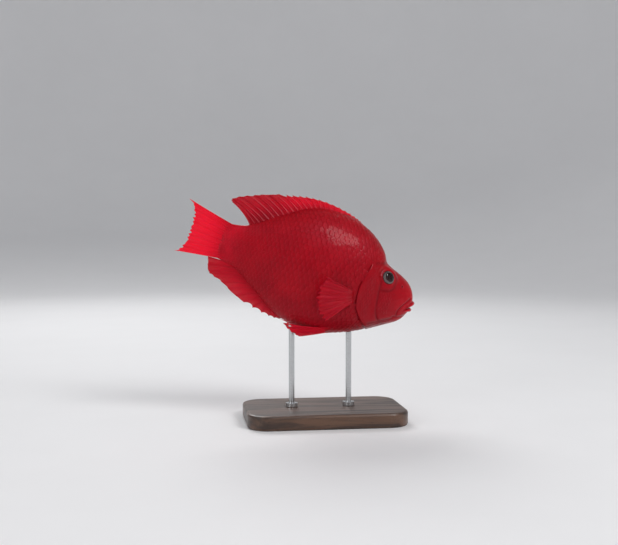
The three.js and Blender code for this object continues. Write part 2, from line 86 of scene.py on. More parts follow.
line = {name: smoothLine(points) for name, points in body.items() if isinstance(points, list)}


def smoothStep(low, high, x):
    t = np.clip((x - low) / (high - low), 0, 1)
    return t * t * (3 - 2 * t)


def mix(a, b, share):
    return a + (b - a) * share


def unit(v):
    return v / np.linalg.norm(v, axis=-1, keepdims=True)


def wholeTurn(steps):
    # angles all the way round, the last the same as the first
    turn = np.linspace(0, 2 * np.pi, steps + 1)
    turn[-1] = 0
    return turn


def toWorld(points):
    x, y, z = np.moveaxis(np.asarray(points, dtype=float), -1, 0)
    y = y + body["sway"] * np.maximum(0, -x - body["swayStart"]) ** 2
    c, s = math.cos(body["pitch"]), math.sin(body["pitch"])
    px, py, pz = body["place"]
    return np.stack([px + x * c + z * s, py + y, pz - x * s + z * c], -1) * mm


def sectionAt(station, inset=body["coat"]):
    top, bottom = line["back"](station) - inset, line["belly"](station) + inset
    return top, bottom, bottom + (top - bottom) * line["widest"](station), line["halfWidth"](station) - inset


def bodyPoint(station, turn, inset=body["coat"]):
    # turn runs round the body: 0 on its left, a quarter turn on the back
    top, bottom, widest, half = sectionAt(station, inset)
    up, side = np.sin(turn), np.cos(turn)
    full = np.where(up >= 0, line["backFullness"](station), line["bellyFullness"](station))
    reach = np.where(up >= 0, top - widest, widest - bottom)

    def rounded(v):
        return np.sign(v) * np.abs(v) ** (2 / full)

    return np.stack(np.broadcast_arrays(-station, half * rounded(side), widest + reach * rounded(up)), -1)


def gauge(points):
    # below 1 inside the bare body and above 1 outside it
    x, y, z = np.moveaxis(points, -1, 0)
    top, bottom, widest, half = sectionAt(-x)
    above = z >= widest
    reach = np.where(above, top - widest, widest - bottom)
    full = np.where(above, line["backFullness"](-x), line["bellyFullness"](-x))
    around = ((np.abs(y) / half) ** full + (np.abs(z - widest) / reach) ** full) ** (1 / full)
    front = body["skinStart"] + x
    return np.where(front > 0, np.maximum(around, 1 + front), around)


def bodyNormal(points):
    step = 0.08
    parts = [gauge(points + move) - gauge(points - move) for move in step * np.eye(3)]
    return unit(np.stack(parts, -1))


def spline(points, t):
    pts = np.array(points, dtype=float)
    last = len(pts) - 1
    at = np.clip(t, 0, 1) * last
    k = np.minimum(np.floor(at).astype(int), last - 1)
    w = (at - k)[..., None]
    p0, p1, p2, p3 = pts[np.maximum(k - 1, 0)], pts[k], pts[k + 1], pts[np.minimum(k + 2, last)]
    v0, v1 = (p2 - p0) / 2, (p3 - p1) / 2
    return (2 * p1 - 2 * p2 + v0 + v1) * w ** 3 + (3 * p2 - 3 * p1 - 2 * v0 - v1) * w ** 2 + v0 * w + p1


# Forms of the head and flank, as rises and folds of the skin.
folds = [
    # each: a path in station and height, its width, its depth
    ([(37.2, 15), (36.2, 6), (36, -4), (34.6, -15), (30.5, -24.5), (23, -28.5)], 0.9, 0.42),
    ([(6.2, -1.5), (9, -5), (12.2, -9.5), (14.6, -14), (14.4, -17.5)], 0.8, 0.5),
    ([(4.2, -14.8), (8, -17), (12.5, -18.6), (17, -19.6)], 0.8, 0.38),
    ([(17, -21), (23, -24.2), (29, -27.5), (36, -30.6)], 0.9, 0.3),
    ([(24.6, 14), (23.2, 9), (24, 3.2), (28, -0.6), (34, -1.4)], 1.3, 0.22),
    ([(36, 21), (41, 19.6), (44, 18.6)], 1.6, 0.3),
    ([(19, -23.8), (26, -27.4), (33, -31.4), (38, -34.6)], 0.6, 0.24),
    ([(19, -25.8), (26, -29.7), (33, -33.8), (38.5, -36.8)], 0.6, 0.26),
    ([(18, -27), (27, -31.7), (35, -35.9), (40, -38.6)], 0.6, 0.26),
]
swellings = [
    # each: a middle in station and height, its radius, its rise
    ((25, -9), 8.5, 0.8), ((45.5, -5), 9, 0.35), ((17, -3), 5, 0.35),
    ((12.5, -21), 4, 0.4), ((55.5, -12.5), 5.2, 1.1), ((41, 27), 9, 0.5),
]
unevenness = [
    # slow and fine waves of real flesh. Each: its rise, the stations over which it sets in, and two crossed
    # waves by station, height and shift
    (0.16, (8, 30), (0.21, 0.13, 0), (-0.05, 0.19, 1.3)),
    (0.05, (0, 1), (0.83, 0.4, 0), (-0.3, 0.9, 0)),
]
finFeet = {
    # the fleshy feet of the dorsal and anal fins
    "rise": 0.7, "halfWidth": 3.2, "depth": 3.5,
    "back": (58, 66), "belly": (101, 108), "end": (156, 148),
}


def fromPath(station, height, path):
    nearest = np.full(np.shape(station), 1e9)
    dense = spline(path, np.linspace(0, 1, 8 * len(path)))
    for (ax, ay), (bx, by) in zip(dense[:-1], dense[1:]):
        dx, dy = bx - ax, by - ay
        t = np.clip(((station - ax) * dx + (height - ay) * dy) / (dx * dx + dy * dy), 0, 1)
        nearest = np.minimum(nearest, np.hypot(station - ax - t * dx, height - ay - t * dy))
    return nearest


def relief(points):
    # how far the skin rises from the plain body, and how deep in a fold it is, for painted shade in the folds
    station, side, height = -points[..., 0], np.abs(points[..., 1]), points[..., 2]
    flank = smoothStep(1.5, 6, side)
    rise = np.zeros(station.shape)
    shade = np.zeros(station.shape)
    for path, width, depth in folds:
        near = np.exp(-(fromPath(station, height, path) / width) ** 2) * flank
        rise -= depth * near
        shade = np.maximum(shade, near)
    for at, radius, lump in swellings:
        away = np.hypot(station - at[0], height - at[1])
        rise += lump * np.exp(-(away / radius) ** 2) * flank
    for wave, start, *crossed in unevenness:
        first, second = (np.sin(a * station + b * height + shift) for a, b, shift in crossed)
        rise += wave * first * second * smoothStep(*start, station)
    top, bottom, _, _ = sectionAt(station)
    ridge = finFeet["rise"] * np.exp(-(side / finFeet["halfWidth"]) ** 2)
    for under, start in ((top - height, finFeet["back"]), (height - bottom, finFeet["belly"])):
        along = smoothStep(*start, station) * smoothStep(*finFeet["end"], station)
        rise += ridge * smoothStep(finFeet["depth"], 0, under) * along
    return rise, shade


eye = {
    "station": 31, "height": 10.2, "radius": 7.2, "flattened": 0.84, "sunk": 3.3,
    "outwards": unit(np.array([0.32, 1, 0.38])),
    # round it the skin has an opening, a rim, a low fold and a stretch that joins the head, all by radius
    "opening": 5.75, "rimTop": 6.35, "fold": 8.6, "joinStart": 7.4, "settled": 11.5,
    "rimRise": 0.55, "rimWidth": 0.95, "rimLeast": 0.34, "foldRise": 0.12, "foldWidth": 1.2, "bowl": -1.6,
    # points near the opening are drawn onto two clean rings: how far in, how near, and the ring's place
    "rings": [(0, 0.26, 0), (0.5, 0.24, 0.45)],
    "depth": 9, "fromMiddle": 3,
}


def eyeFrame():
    station, height = eye["station"], eye["height"]
    turns = np.radians(np.linspace(0, 90, 721))
    flank = bodyPoint(station, turns, 0.0)
    at = flank[np.argmin(np.abs(flank[:, 2] - height))]
    return np.array([-station, at[1], height])


eyeSurface = eyeFrame()


def alongEye(points):
    # how far out of the eye points lie, and where they lie across it
    axial = (points - eyeSurface) @ eye["outwards"]
    return axial, points - eyeSurface - axial[..., None] * eye["outwards"]


def settleEye(points):
    # the skin lies flat round each eye, rises to a rim and drops behind the eyeball
    side = np.where(points[..., 1] < 0, -1.0, 1.0)
    mirror = np.stack([np.ones_like(side), side, np.ones_like(side)], -1)
    axial, across = alongEye(points * mirror)
    r = np.linalg.norm(across, axis=-1)
    near = (r < eye["settled"]) & (axial > -eye["depth"]) & (side * points[..., 1] > eye["fromMiddle"])
    opening = eye["opening"]
    snapped = r
    for inside, reach, ring in eye["rings"]:
        snapped = np.where(np.abs(r - opening + inside) < reach, opening - ring, snapped)
    across = across * (snapped / np.maximum(r, 1e-6))[..., None]
    rim = eye["rimRise"] * np.exp(-((snapped - eye["rimTop"]) / eye["rimWidth"]) ** 2)
    wanted = rim + eye["foldRise"] * np.exp(-((snapped - eye["fold"]) / eye["foldWidth"]) ** 2)
    wanted = np.where(snapped < eye["rimTop"], np.maximum(wanted, eye["rimLeast"]), wanted)
    wanted = np.where(snapped < opening - 0.2, eye["bowl"], wanted)
    share = 1 - smoothStep(eye["joinStart"], eye["settled"], r)
    moved = eyeSurface + across + mix(axial, wanted, share)[..., None] * eye["outwards"]
    return np.where(near[..., None], moved * mirror, points)


gill = {
    "edge": [(-56, 25), (-40, 29), (-33.5, 38), (-27, 46.5), (-18, 52.5), (-7, 54), (6, 51.5), (20, 47),
             (34, 45), (60, 43)],
    "raised": 1.0, "spread": 14,
    # the flap's free edge rolls under itself: distance behind the edge, and height over the skin
    "roll": [(-0.9, 1.0), (-0.5, 0.98), (-0.16, 0.86), (0.02, 0.62), (-0.02, 0.38), (-0.35, 0.18),
             (-1.2, 0.08), (-2.4, -0.05), (-3.1, -0.35), (-2.9, -0.75), (-2.0, -0.85), (-0.8, -0.6),
             (0.5, -0.3), (2.0, -0.08), (3.5, 0.0)],
    "flat": (-0.9, 3.5),
    # the slit is shut above these heights and half shut under the throat
    "shut": (18.5, 12.5), "throat": (-39, -30), "throatShare": 0.45,
}
gillAtHeight = smoothLine(gill["edge"])
flankTurns = np.radians(np.linspace(-90, 90, 721))


def findGillStation(turn):
    low, high = np.full(turn.shape, 22.0), np.full(turn.shape, 62.0)
    for _ in range(30):
        half = (low + high) / 2
        behind = half > gillAtHeight(bodyPoint(half, turn)[..., 2])
        high, low = np.where(behind, half, high), np.where(behind, low, half)
    return half


gillStations = findGillStation(flankTurns)


def gillStation(turn):
    return np.interp(np.arcsin(np.clip(np.sin(turn), -1, 1)), flankTurns, gillStations)


def gillOpen(turn):
    height = bodyPoint(gillStation(turn), turn)[..., 2]
    throat = mix(gill["throatShare"], 1, smoothStep(*gill["throat"], height))
    return smoothStep(*gill["shut"], height) * throat


def gillLift(station, turn):
    ahead = gillStation(turn) - station
    return gill["raised"] * gillOpen(turn) * np.where(ahead >= 0, 1 - smoothStep(0, gill["spread"], ahead), 0)


def skinSurface(station, turn, lift=None):
    base = bodyPoint(station, turn)
    normal = bodyNormal(base)
    rise, shade = relief(base)
    rise = rise + (gillLift(station, turn) if lift is None else lift)
    return base + normal * rise[..., None], normal, shade


mouth = {
    "front": (1.9, -7.4), "corner": (9.6, -12.1), "halfWidth": 7.3,
    "open": 1.15, "lowerSetBack": 0.8,
    "upperLip": 3.9, "lowerLip": 3.6, "pastCorner": (1.3, 0.7),
    "bulge": 2.3, "cornerBulge": 0.5,
    "throat": (11.5, -10.8),
    # rings from the throat to the lips: the share of the way in, and the gape there
    "throatRings": [(0.9, 0.5), (0.76, 1.0), (0.58, 1.35), (0.4, 1.3), (0.24, 1.0), (0.12, 0.6),
                    (0.05, 0.25)],
}
skin = {
    "columns": 288, "lipRings": 12, "faceRings": 50, "cheekRings": 56, "shoulderRings": 36, "flankRings": 92,
    "shoulderEnd": 80, "crease": 0.3,
    # the rounded end inside the tail fin's root: how far back, and the width and height left
    "endRings": [(0.3, 0.8, 0.99), (0.5, 0.4, 0.97), (0.6, 0.0, 0.96)],
}
faceCentre = np.array([-18.0, 0.0, -5.0])


def faceHit(direction):
    near, far = np.zeros(direction.shape[:-1]), np.full(direction.shape[:-1], 60.0)
    for _ in range(32):
        half = (near + far) / 2
        within = gauge(faceCentre + direction * half[..., None]) < 1
        near, far = np.where(within, half, near), np.where(within, far, half)
    return faceCentre + direction * near[..., None]


def skinRings():
    turn = np.linspace(0, 2 * np.pi, skin["columns"] + 1)
    c, q = np.cos(turn), np.sin(turn)
    c[-1], q[-1] = c[0], q[0]
    upper = q >= 0
    flat = np.abs(q)
    # the fold and mouth masks mark where shade is painted into the skin
    rings, masks = [], {"mouth": [], "lip": [], "fold": []}

    def keep(points, **shares):
        rings.append(points)
        for name, mask in masks.items():
            mask.append(np.broadcast_to(shares.get(name, 0.0), turn.shape))

    # where the lips meet
    meetStation, meetHeight = (mix(*ends, 1 - flat) for ends in zip(mouth["front"], mouth["corner"]))
    meetStation = meetStation + np.where(upper, 0, mouth["lowerSetBack"] * flat)
    meetHeight = meetHeight + mouth["open"] * q
    meet = np.stack([-meetStation, mouth["halfWidth"] * c, meetHeight], -1)
    # where they end on the face
    back, aside = mouth["pastCorner"]
    lipHeight = np.where(upper, mouth["upperLip"], mouth["lowerLip"])
    outer = np.stack([-(meetStation + back * (1 - flat) ** 2), (mouth["halfWidth"] + aside) * c,
                      meetHeight + np.sign(q) * lipHeight * flat ** 0.75], -1)
    lipDirection = unit(outer - faceCentre)
    outer = faceHit(lipDirection)
    outwards = unit(np.stack([flat + 0.05, 0.9 * c, 0.12 * q], -1))

    # the inside of the mouth is marked to be painted dark, as painted shade
    throat = np.array([-mouth["throat"][0], 0, mouth["throat"][1]])
    keep(np.broadcast_to(throat, meet.shape), mouth=1.0)
    for share, gape in mouth["throatRings"]:
        ring = mix(meet, throat, share)
        ring[:, 2] += gape * q
        keep(ring, mouth=smoothStep(0, 0.3, share))
    bulge = mix(mouth["cornerBulge"], mouth["bulge"], flat ** 0.8)
    for j in range(skin["lipRings"] + 1):
        angle = math.pi * (1 - j / skin["lipRings"])
        ring = mix(outer, meet, (1 - math.cos(angle)) / 2)
        ring = ring + outwards * (bulge * math.sin(angle))[:, None]
        keep(ring, lip=math.sin(angle) ** 0.5 if 0 < j < skin["lipRings"] else 0.2)

    # the face, from the lips to the first whole section of the head
    start = -faceCentre[0]
    wholeDirection = unit(bodyPoint(start, turn) - faceCentre)
    between = np.arccos(np.clip((lipDirection * wholeDirection).sum(-1), -1, 1))[:, None]
    for j in range(1, skin["faceRings"] + 1):
        share = j / skin["faceRings"]
        direction = np.sin((1 - share) * between) * lipDirection + np.sin(share * between) * wholeDirection
        ring = faceHit(unit(direction / np.sin(between)))
        rise, shade = relief(ring)
        crease = math.exp(-((j - 1.2) / 1.1) ** 2)
        rise = rise * smoothStep(0, 4, j) - skin["crease"] * crease
        # the folds and the crease by the lips are marked for painted shade
        keep(ring + bodyNormal(ring) * rise[:, None], fold=np.maximum(shade, 0.7 * crease))

    def onBody(station, lift=None, creaseShade=0.0):
        points, _, shade = skinSurface(station, turn, lift)
        keep(points, fold=np.maximum(shade, creaseShade))

    # the cheek, the gill cover's rolled edge, and the flank to its rounded end
    edge, opened = gillStation(turn), gillOpen(turn)
    flatStart, flatEnd = gill["flat"]
    for j in range(1, skin["cheekRings"]):
        onBody(mix(start, edge + flatStart, j / skin["cheekRings"]))
    for j, (behind, lift) in enumerate(gill["roll"]):
        plain = mix(flatStart, flatEnd, j / (len(gill["roll"]) - 1))
        # the skin deep in the gill slit is marked for painted shade
        slitShade = math.exp(-((j - 8.5) / 3) ** 2)
        onBody(edge + mix(plain, behind, opened), lift * opened, slitShade * opened)
    for j in range(1, skin["shoulderRings"] + 1):
        onBody(mix(edge + flatEnd, skin["shoulderEnd"], j / skin["shoulderRings"]))
    for station in np.linspace(skin["shoulderEnd"], body["skinEnd"], skin["flankRings"] + 1)[1:]:
        onBody(station)
    last = bodyPoint(body["skinEnd"], turn)
    middle = last[:, 2].mean()
    for back, narrow, low in skin["endRings"]:
        ring = last.copy()
        ring[:, 0] -= back
        ring[:, 1] *= narrow
        ring[:, 2] = middle + (ring[:, 2] - middle) * low
        keep(ring)
    return settleEye(np.array(rings)), masks


def gridPiece(name, points):
    # a grid primitive, its points moved into shape row by row
    rows, columns = points.shape[0] - 1, points.shape[1] - 1
    bpy.ops.mesh.primitive_grid_add(x_subdivisions=columns, y_subdivisions=rows, size=2)
    piece = bpy.context.active_object
    piece.name = piece.data.name = name
    piece.data.vertices.foreach_set("co", points.reshape(-1))
    piece.data.update()
    return piece


def addMask(piece, name, values):
    layer = piece.data.attributes.new(name, "FLOAT", "POINT")
    layer.data.foreach_set("value", np.asarray(values, dtype=np.float32).reshape(-1))


def closeUp(piece, distance=1e-7):
    bpy.ops.object.mode_set(mode="EDIT")
    bpy.ops.mesh.select_all(action="SELECT")
    bpy.ops.mesh.remove_doubles(threshold=distance)
    bpy.ops.mesh.normals_make_consistent(inside=False)
    bpy.ops.object.mode_set(mode="OBJECT")
    bpy.ops.object.shade_smooth()
    piece.select_set(False)


def buildSkin():
    rings, masks = skinRings()
    piece = gridPiece("skin", toWorld(rings))
    for name, values in masks.items():
        addMask(piece, name, values)
    closeUp(piece, 2e-6)
    return piece


skinPiece = buildSkin()
print("skin", len(skinPiece.data.polygons), "faces")

# Scales lie in rows from gill to tail, each row half a scale behind its neighbours. They are placed on a
# lattice that follows the skin, so that the rows run out along the back and belly as a real fish's do.
scale = {
    "rowHeight": [(16, 2.1), (34, 2.5), (42, 3.1), (54, 4.3), (66, 4.6), (100, 4.6), (125, 4.0), (145, 3.2),
                  (160, 2.6), (172, 1.9)],
    "columnShare": 0.95,
    "front": -0.55, "rear": 0.64, "halfHeight": 0.8,
    "sunk": 0.1, "rise": 0.4, "thick": 0.13,  # for a scale of full size
    "deeper": 0.12,  # the first ones of the head lie deeper in the skin
    "fullSize": 4.6,
    "leastWidth": 0.7, "leastRise": 0.15,  # of the smallest ones, as shares of a full scale's
    "leastShare": 0.14,  # smaller ones than this are left out
    "vary": {"size": 0.05, "place": 0.07, "rise": 0.3},
    "seed": 7,
    "bakePatch": 0.003,
    "fade": 7,  # scales shrink over this distance from the bare skin of the head
    "rows": (-24, 24),
    "lateralLine": [(6, 50, 124), (0, 117, 160)],  # the row, and where its pored scales start and end
    # where the scales lie ahead of the gill cover's end, and the curved line where they stop at the tail
    "nape": {"start": 34.5, "low": 17, "lowerAhead": 38, "slope": 0.25, "fromEye": 11},
    "tail": {"end": 169.6, "curve": 0.012},
}
faceScale = {
    "rowHeight": [(10, 2.4), (60, 2.6)], "rise": 0.48, "thick": 0.18, "fade": 4, "rows": (-20, 20),
    "cover": {"start": 38.2, "fromEdge": 2.6, "top": 16.5, "low": -31},
    "cheek": {"start": 21.5, "end": 34.9, "top": -1.5, "low": -20.5, "lowAt": 24, "slope": 0.2},
    "fromEye": 10.5,
}


def latticeFor(rowHeight):
    heightAt = smoothLine(rowHeight)
    stations = np.linspace(14, 173, 319)
    turns = np.radians(np.linspace(-90, 90, 181))
    grid = bodyPoint(stations[:, None], turns[None, :])
    around = np.linalg.norm(np.diff(grid, axis=1), axis=-1)
    arc = np.concatenate([np.zeros((len(stations), 1)), np.cumsum(around, axis=1)], axis=1)
    arc -= arc[:, [90]]
    width = scale["columnShare"] * heightAt(stations[1:])
    along = np.linalg.norm(np.diff(grid, axis=0), axis=-1) / width[:, None]
    column = np.concatenate([np.zeros((1, len(turns))), np.cumsum(along, axis=0)], axis=0)
    column -= column[[np.argmin(np.abs(stations - 80))]]
    step = 0.25
    rowSteps = np.arange(-22, 22.01, step)
    columnSteps = np.arange(math.floor(column.min()), math.ceil(column.max()) + 0.01, step)
    stationTable = np.zeros((len(rowSteps), len(columnSteps)))
    turnTable = np.zeros_like(stationTable)
    for i, row in enumerate(rowSteps):
        wanted = row * heightAt(stations)
        turnHere = np.array([np.interp(a, arc[k], turns) for k, a in enumerate(wanted)])
        columnHere = np.array([np.interp(t, turns, column[k]) for k, t in enumerate(turnHere)])
        stationTable[i] = np.interp(columnSteps, columnHere, stations)
        turnTable[i] = np.interp(columnSteps, columnHere, turnHere)

    def at(columns, rows):
        i = np.clip((rows - rowSteps[0]) / step, 0, len(rowSteps) - 1.001)
        j = np.clip((columns - columnSteps[0]) / step, 0, len(columnSteps) - 1.001)
        i0, j0 = i.astype(int), j.astype(int)
        fi, fj = i - i0, j - j0

        def read(table):
            near = mix(table[i0, j0], table[i0, j0 + 1], fj)
            return mix(near, mix(table[i0 + 1, j0], table[i0 + 1, j0 + 1], fj), fi)

        return read(stationTable), read(turnTable)

    return at, columnSteps


def gridFaces(rows, wide):
    starts = [r * wide + i for r in range(rows - 1) for i in range(wide - 1)]
    return [(a, a + 1, a + wide + 1, a + wide) for a in starts]


def liftAt(column):
    # a scale rises evenly from its front to its rear
    return (column - scale["front"]) / (scale["rear"] - scale["front"])


def scaleTemplate():
    # one scale: its points as column, row and height, and its faces
    shares = [0, 0.34, 0.64, 0.86, 0.97, 1.0]
    rows = np.sin(np.radians(np.linspace(-90, 90, 7))) * scale["halfHeight"]
    points = []
    for row in rows:
        reach = (row / scale["halfHeight"]) ** 2
        rear = scale["rear"] - 0.7 * reach ** 1.35
        front = scale["front"] + 0.12 * reach
        for share in shares:
            column = front + max(rear - front, 0.02) * share
            points.append((column, row, liftAt(column) - (0.16 if share == 1.0 else 0.0) - 0.1 * reach))
    wide, last = len(shares), (len(rows) - 1) * len(shares)
    faces = gridFaces(len(rows), wide)
    rim = list(range(wide)) + [r * wide + wide - 1 for r in range(1, len(rows))]
    rim += [last + i for i in range(wide - 2, -1, -1)] + [r * wide for r in range(len(rows) - 2, 0, -1)]
    top = len(points)
    points += [points[i] for i in rim]
    for i in range(len(rim)):
        j = (i + 1) % len(rim)
        faces.append((rim[j], rim[i], top + i, top + j))
    faces.append(tuple(top + i for i in range(len(rim) - 1, -1, -1)))
    return np.array(points), faces, top


def tubeTemplate():
    # the small tube that the lateral line makes on each of its scales
    shares, rows = np.linspace(0, 1, 7), np.linspace(-1, 1, 6)
    points = []
    for share in shares:
        column = mix(-0.22, 0.36, share)
        for row in rows:
            arch = math.sqrt(max(0, 1 - row * row)) * math.sin(math.pi * mix(0.12, 0.8, share)) ** 0.6
            points.append((column, 0.1 * row * mix(0.7, 1, share), liftAt(column) - 0.12 + 0.62 * arch))
    wide, last = len(rows), (len(shares) - 1) * len(rows)
    faces = [(a, d, c, b) for a, b, c, d in gridFaces(len(shares), wide)]
    faces += [tuple(range(wide)), tuple(last + i for i in range(wide - 1, -1, -1))]
    starts = [r * wide for r in range(len(shares))]
    faces.append(tuple(starts + [start + wide - 1 for start in reversed(starts)]))
    return np.array(points), faces, len(points)


def scaleRoots(lattice, columnSteps, cover, rowRange):
    rows = np.arange(rowRange[0], rowRange[1] + 1)
    columns = np.arange(math.ceil(columnSteps[0]), math.floor(columnSteps[-1]))
    row, column = [v.reshape(-1).astype(float) for v in np.meshgrid(rows, columns, indexing="ij")]
    column = column + 0.5 * (np.abs(row) % 2)
    station, turn = lattice(column, row)
    share = cover(station, turn)
    # where the row has run out on the back or belly, its scales end
    keep = (share > scale["leastShare"]) & (np.abs(turn) < math.radians(86))
    return column[keep], row[keep], share[keep]


def growScales(name, side, lattice, roots, kind, template, seed):
    column, row, share = roots
    template, faces, top = template
    random = np.random.default_rng(seed)
    count, vary = len(column), scale["vary"]
    size = (1 + vary["size"] * (random.random(count) - 0.5)) * mix(scale["leastWidth"], 1, share)
    jitter = (random.random((count, 2)) - 0.5) * vary["place"]
    rootStation, rootTurn = lattice(column, row)
    local = smoothLine(kind["rowHeight"])(rootStation) / scale["fullSize"] * mix(scale["leastRise"], 1, share)
    lifted = kind["rise"] * local * (1 + vary["rise"] * (random.random(count) - 0.5))
    c = (column + jitter[:, 0])[:, None] + template[None, :, 0] * size[:, None]
    r = (row + jitter[:, 1])[:, None] + template[None, :, 1] * size[:, None]
    place, normal, _ = skinSurface(*lattice(c, r))
    height = -scale["sunk"] + (scale["sunk"] + lifted[:, None]) * template[None, :, 2]
    height[:, top:] -= (kind["thick"] * local)[:, None]
    height -= (scale["deeper"] * (1 - share) ** 2)[:, None]
    points = place + normal * height[..., None]
    points[..., 1] *= side
    each = len(template)
    faces = [face if side > 0 else face[::-1] for face in faces]
    mesh = bpy.data.meshes.new(name)
    shifted = [tuple(i + n * each for i in face) for n in range(count) for face in faces]
    mesh.from_pydata(toWorld(points).reshape(-1, 3), [], shifted)
    piece = bpy.data.objects.new(name, mesh)
    bpy.context.collection.objects.link(piece)
    mesh.shade_smooth()
    mesh.set_sharp_from_angle(angle=math.radians(50))

    # each scale has its own map, and a small patch of the bake map at its place on the fish
    around = (rootTurn if side > 0 else math.pi - rootTurn) / (2 * math.pi) + 0.25
    root = np.stack([around, rootStation / 175], -1)
    loops = np.zeros(len(mesh.loops), dtype=int)
    mesh.loops.foreach_get("vertex_index", loops)
    inside = np.stack([template[:, 0] - scale["front"], template[:, 1] + scale["halfHeight"]], -1)
    inside = (inside / [scale["rear"] - scale["front"], 2 * scale["halfHeight"]])[loops % each]
    patch = root[loops // each] + (inside - 0.5) * scale["bakePatch"]
    for layerName, values in (("scaleMap", inside), ("OFBake", patch)):
        layer = mesh.uv_layers.new(name=layerName)
        layer.data.foreach_set("uv", values.astype(np.float32).reshape(-1))
    mesh.uv_layers.active = mesh.uv_layers["scaleMap"]
    addMask(piece, "shade", np.repeat(random.random(count), each))
    rim = smoothStep(0.62, 1.0, np.clip(template[:, 2] + 0.1, 0, 1))
    addMask(piece, "edge", np.tile(rim, count) * np.repeat(share, each))
    return piece


def awayFromEye(station, turn):
    return np.linalg.norm(alongEye(bodyPoint(station, turn))[1], axis=-1)


def onTrunk(station, turn):
    # 0 on bare skin, growing to 1 where the scales have their full size
    height = bodyPoint(station, turn)[..., 2]
    behind = station - gillStation(turn)
    behind = np.where(gillOpen(turn) > 0.05, np.where(behind > 1.0, scale["fade"], -1), behind + 0.5)
    nape, end = scale["nape"], scale["tail"]
    above = height - nape["low"] - nape["slope"] * np.maximum(0, nape["lowerAhead"] - station)
    away = awayFromEye(station, turn) - nape["fromEye"]
    inside = np.maximum(behind, np.minimum.reduce([above, station - nape["start"], away]))
    tail = end["end"] - end["curve"] * height ** 2 - station
    return smoothStep(-0.8, scale["fade"], inside) * (inside > 0) * smoothStep(-3, 4, tail) * (tail > 0)


def onCheek(station, turn):
    height = bodyPoint(station, turn)[..., 2]
    cover, cheek = faceScale["cover"], faceScale["cheek"]
    flap = gillStation(turn) - cover["fromEdge"] - station
    level = np.minimum(cover["top"] - height, height - cover["low"])
    onCover = np.minimum.reduce([station - cover["start"], flap, level])
    above = height - cheek["low"] - cheek["slope"] * (station - cheek["lowAt"])
    below = np.minimum(cheek["end"] - station, cheek["top"] - height)
    inside = np.maximum(onCover, np.minimum.reduce([station - cheek["start"], below, above]))
    inside = np.minimum(inside, awayFromEye(station, turn) - faceScale["fromEye"])
    return smoothStep(-0.8, faceScale["fade"], inside) * (inside > 0)


def buildScales():
    lattice, columnSteps = latticeFor(scale["rowHeight"])
    roots = scaleRoots(lattice, columnSteps, onTrunk, scale["rows"])
    faceLattice, faceSteps = latticeFor(faceScale["rowHeight"])
    faceRoots = scaleRoots(faceLattice, faceSteps, onCheek, faceScale["rows"])
    rootStation = lattice(roots[0], roots[1])[0]
    pored = np.zeros(len(rootStation), dtype=bool)
    for row, start, end in scale["lateralLine"]:
        pored |= (roots[1] == row) & (rootStation > start) & (rootStation < end)
    lineRoots = tuple(values[pored] for values in roots)
    plain = scaleTemplate()
    kinds = [
        # each: its pieces' name, its lattice, roots, settings and form, and a number for its random draws
        ("scales", lattice, roots, scale, plain, 0),
        ("face_scales", faceLattice, faceRoots, faceScale, plain, 10),
        ("lateral_line", lattice, lineRoots, scale, tubeTemplate(), 20),
    ]
    print("scales", len(roots[0]) * 2, "on the flanks and", len(faceRoots[0]) * 2, "on the cheeks")
    return [growScales(f"{kind}_{sideName}", side, *form, scale["seed"] + draws + side)
            for sideName, side in sides.items() for kind, *form, draws in kinds]


scalePieces = buildScales()
print("scales grown")

# Nostrils and the pores of the head: a low fleshy ring round a pit, its middle painted dark as painted shade.
pits = {
    # each: station, height and radius, the nostril first and then the pores
    "places": [(16.5, 6.4, 1.15), (22.5, -1.6, 0.34), (28.2, -3.4, 0.36), (33.6, -3.0, 0.34),
               (37.6, 9.5, 0.34), (37.4, -10, 0.36), (34.2, -20.5, 0.38), (28, -26.4, 0.38),
               (20.5, -25.6, 0.38), (13.4, -22.8, 0.36), (8.6, -19.6, 0.34)],
    # from the middle out, in radii: how far out and how high
    "profile": [(0, 0.05), (0.4, 0.06), (0.56, 0.1), (0.68, 0.3), (0.84, 0.42), (1.05, 0.4), (1.35, 0.18),
                (1.75, -0.2), (2.0, -0.5)],
    "dark": 0.62, "columns": 16,
}


def turnAt(station, height):
    return np.interp(height, bodyPoint(station, flankTurns)[:, 2], flankTurns)


def buildPits(sideName, side):
    turn = wholeTurn(pits["columns"])[:, None]
    shares, rises = np.array(pits["profile"]).T[:, :, None, None]
    # the middle of each pit is painted dark, as painted shade
    dark = np.repeat(np.where(shares.reshape(-1) < pits["dark"], 1.0, 0.0), len(turn))
    pieces = []
    for number, (station, height, radius) in enumerate(pits["places"]):
        place, normal, _ = skinSurface(station, turnAt(station, height))
        ahead = unit(np.array([1.0, 0, 0]) - normal * normal[0])
        across = np.cos(turn) * ahead + np.sin(turn) * np.cross(normal, ahead)
        form = place + across * shares * radius + normal * rises * radius
        piece = gridPiece(f"pit_{number}", toWorld(form * np.array([1, side, 1])))
        addMask(piece, "mouth", dark)
        closeUp(piece)
        pieces.append(piece)
    bpy.ops.object.select_all(action="DESELECT")
    for piece in pieces:
        piece.select_set(True)
    bpy.context.view_layer.objects.active = pieces[0]
    bpy.ops.object.join()
    joined = bpy.context.active_object
    joined.name = joined.data.name = f"nostril_and_pores_{sideName}"
    joined.select_set(False)
    return joined


pitPieces = [buildPits(sideName, side) for sideName, side in sides.items()]
print("nostrils and pores made")

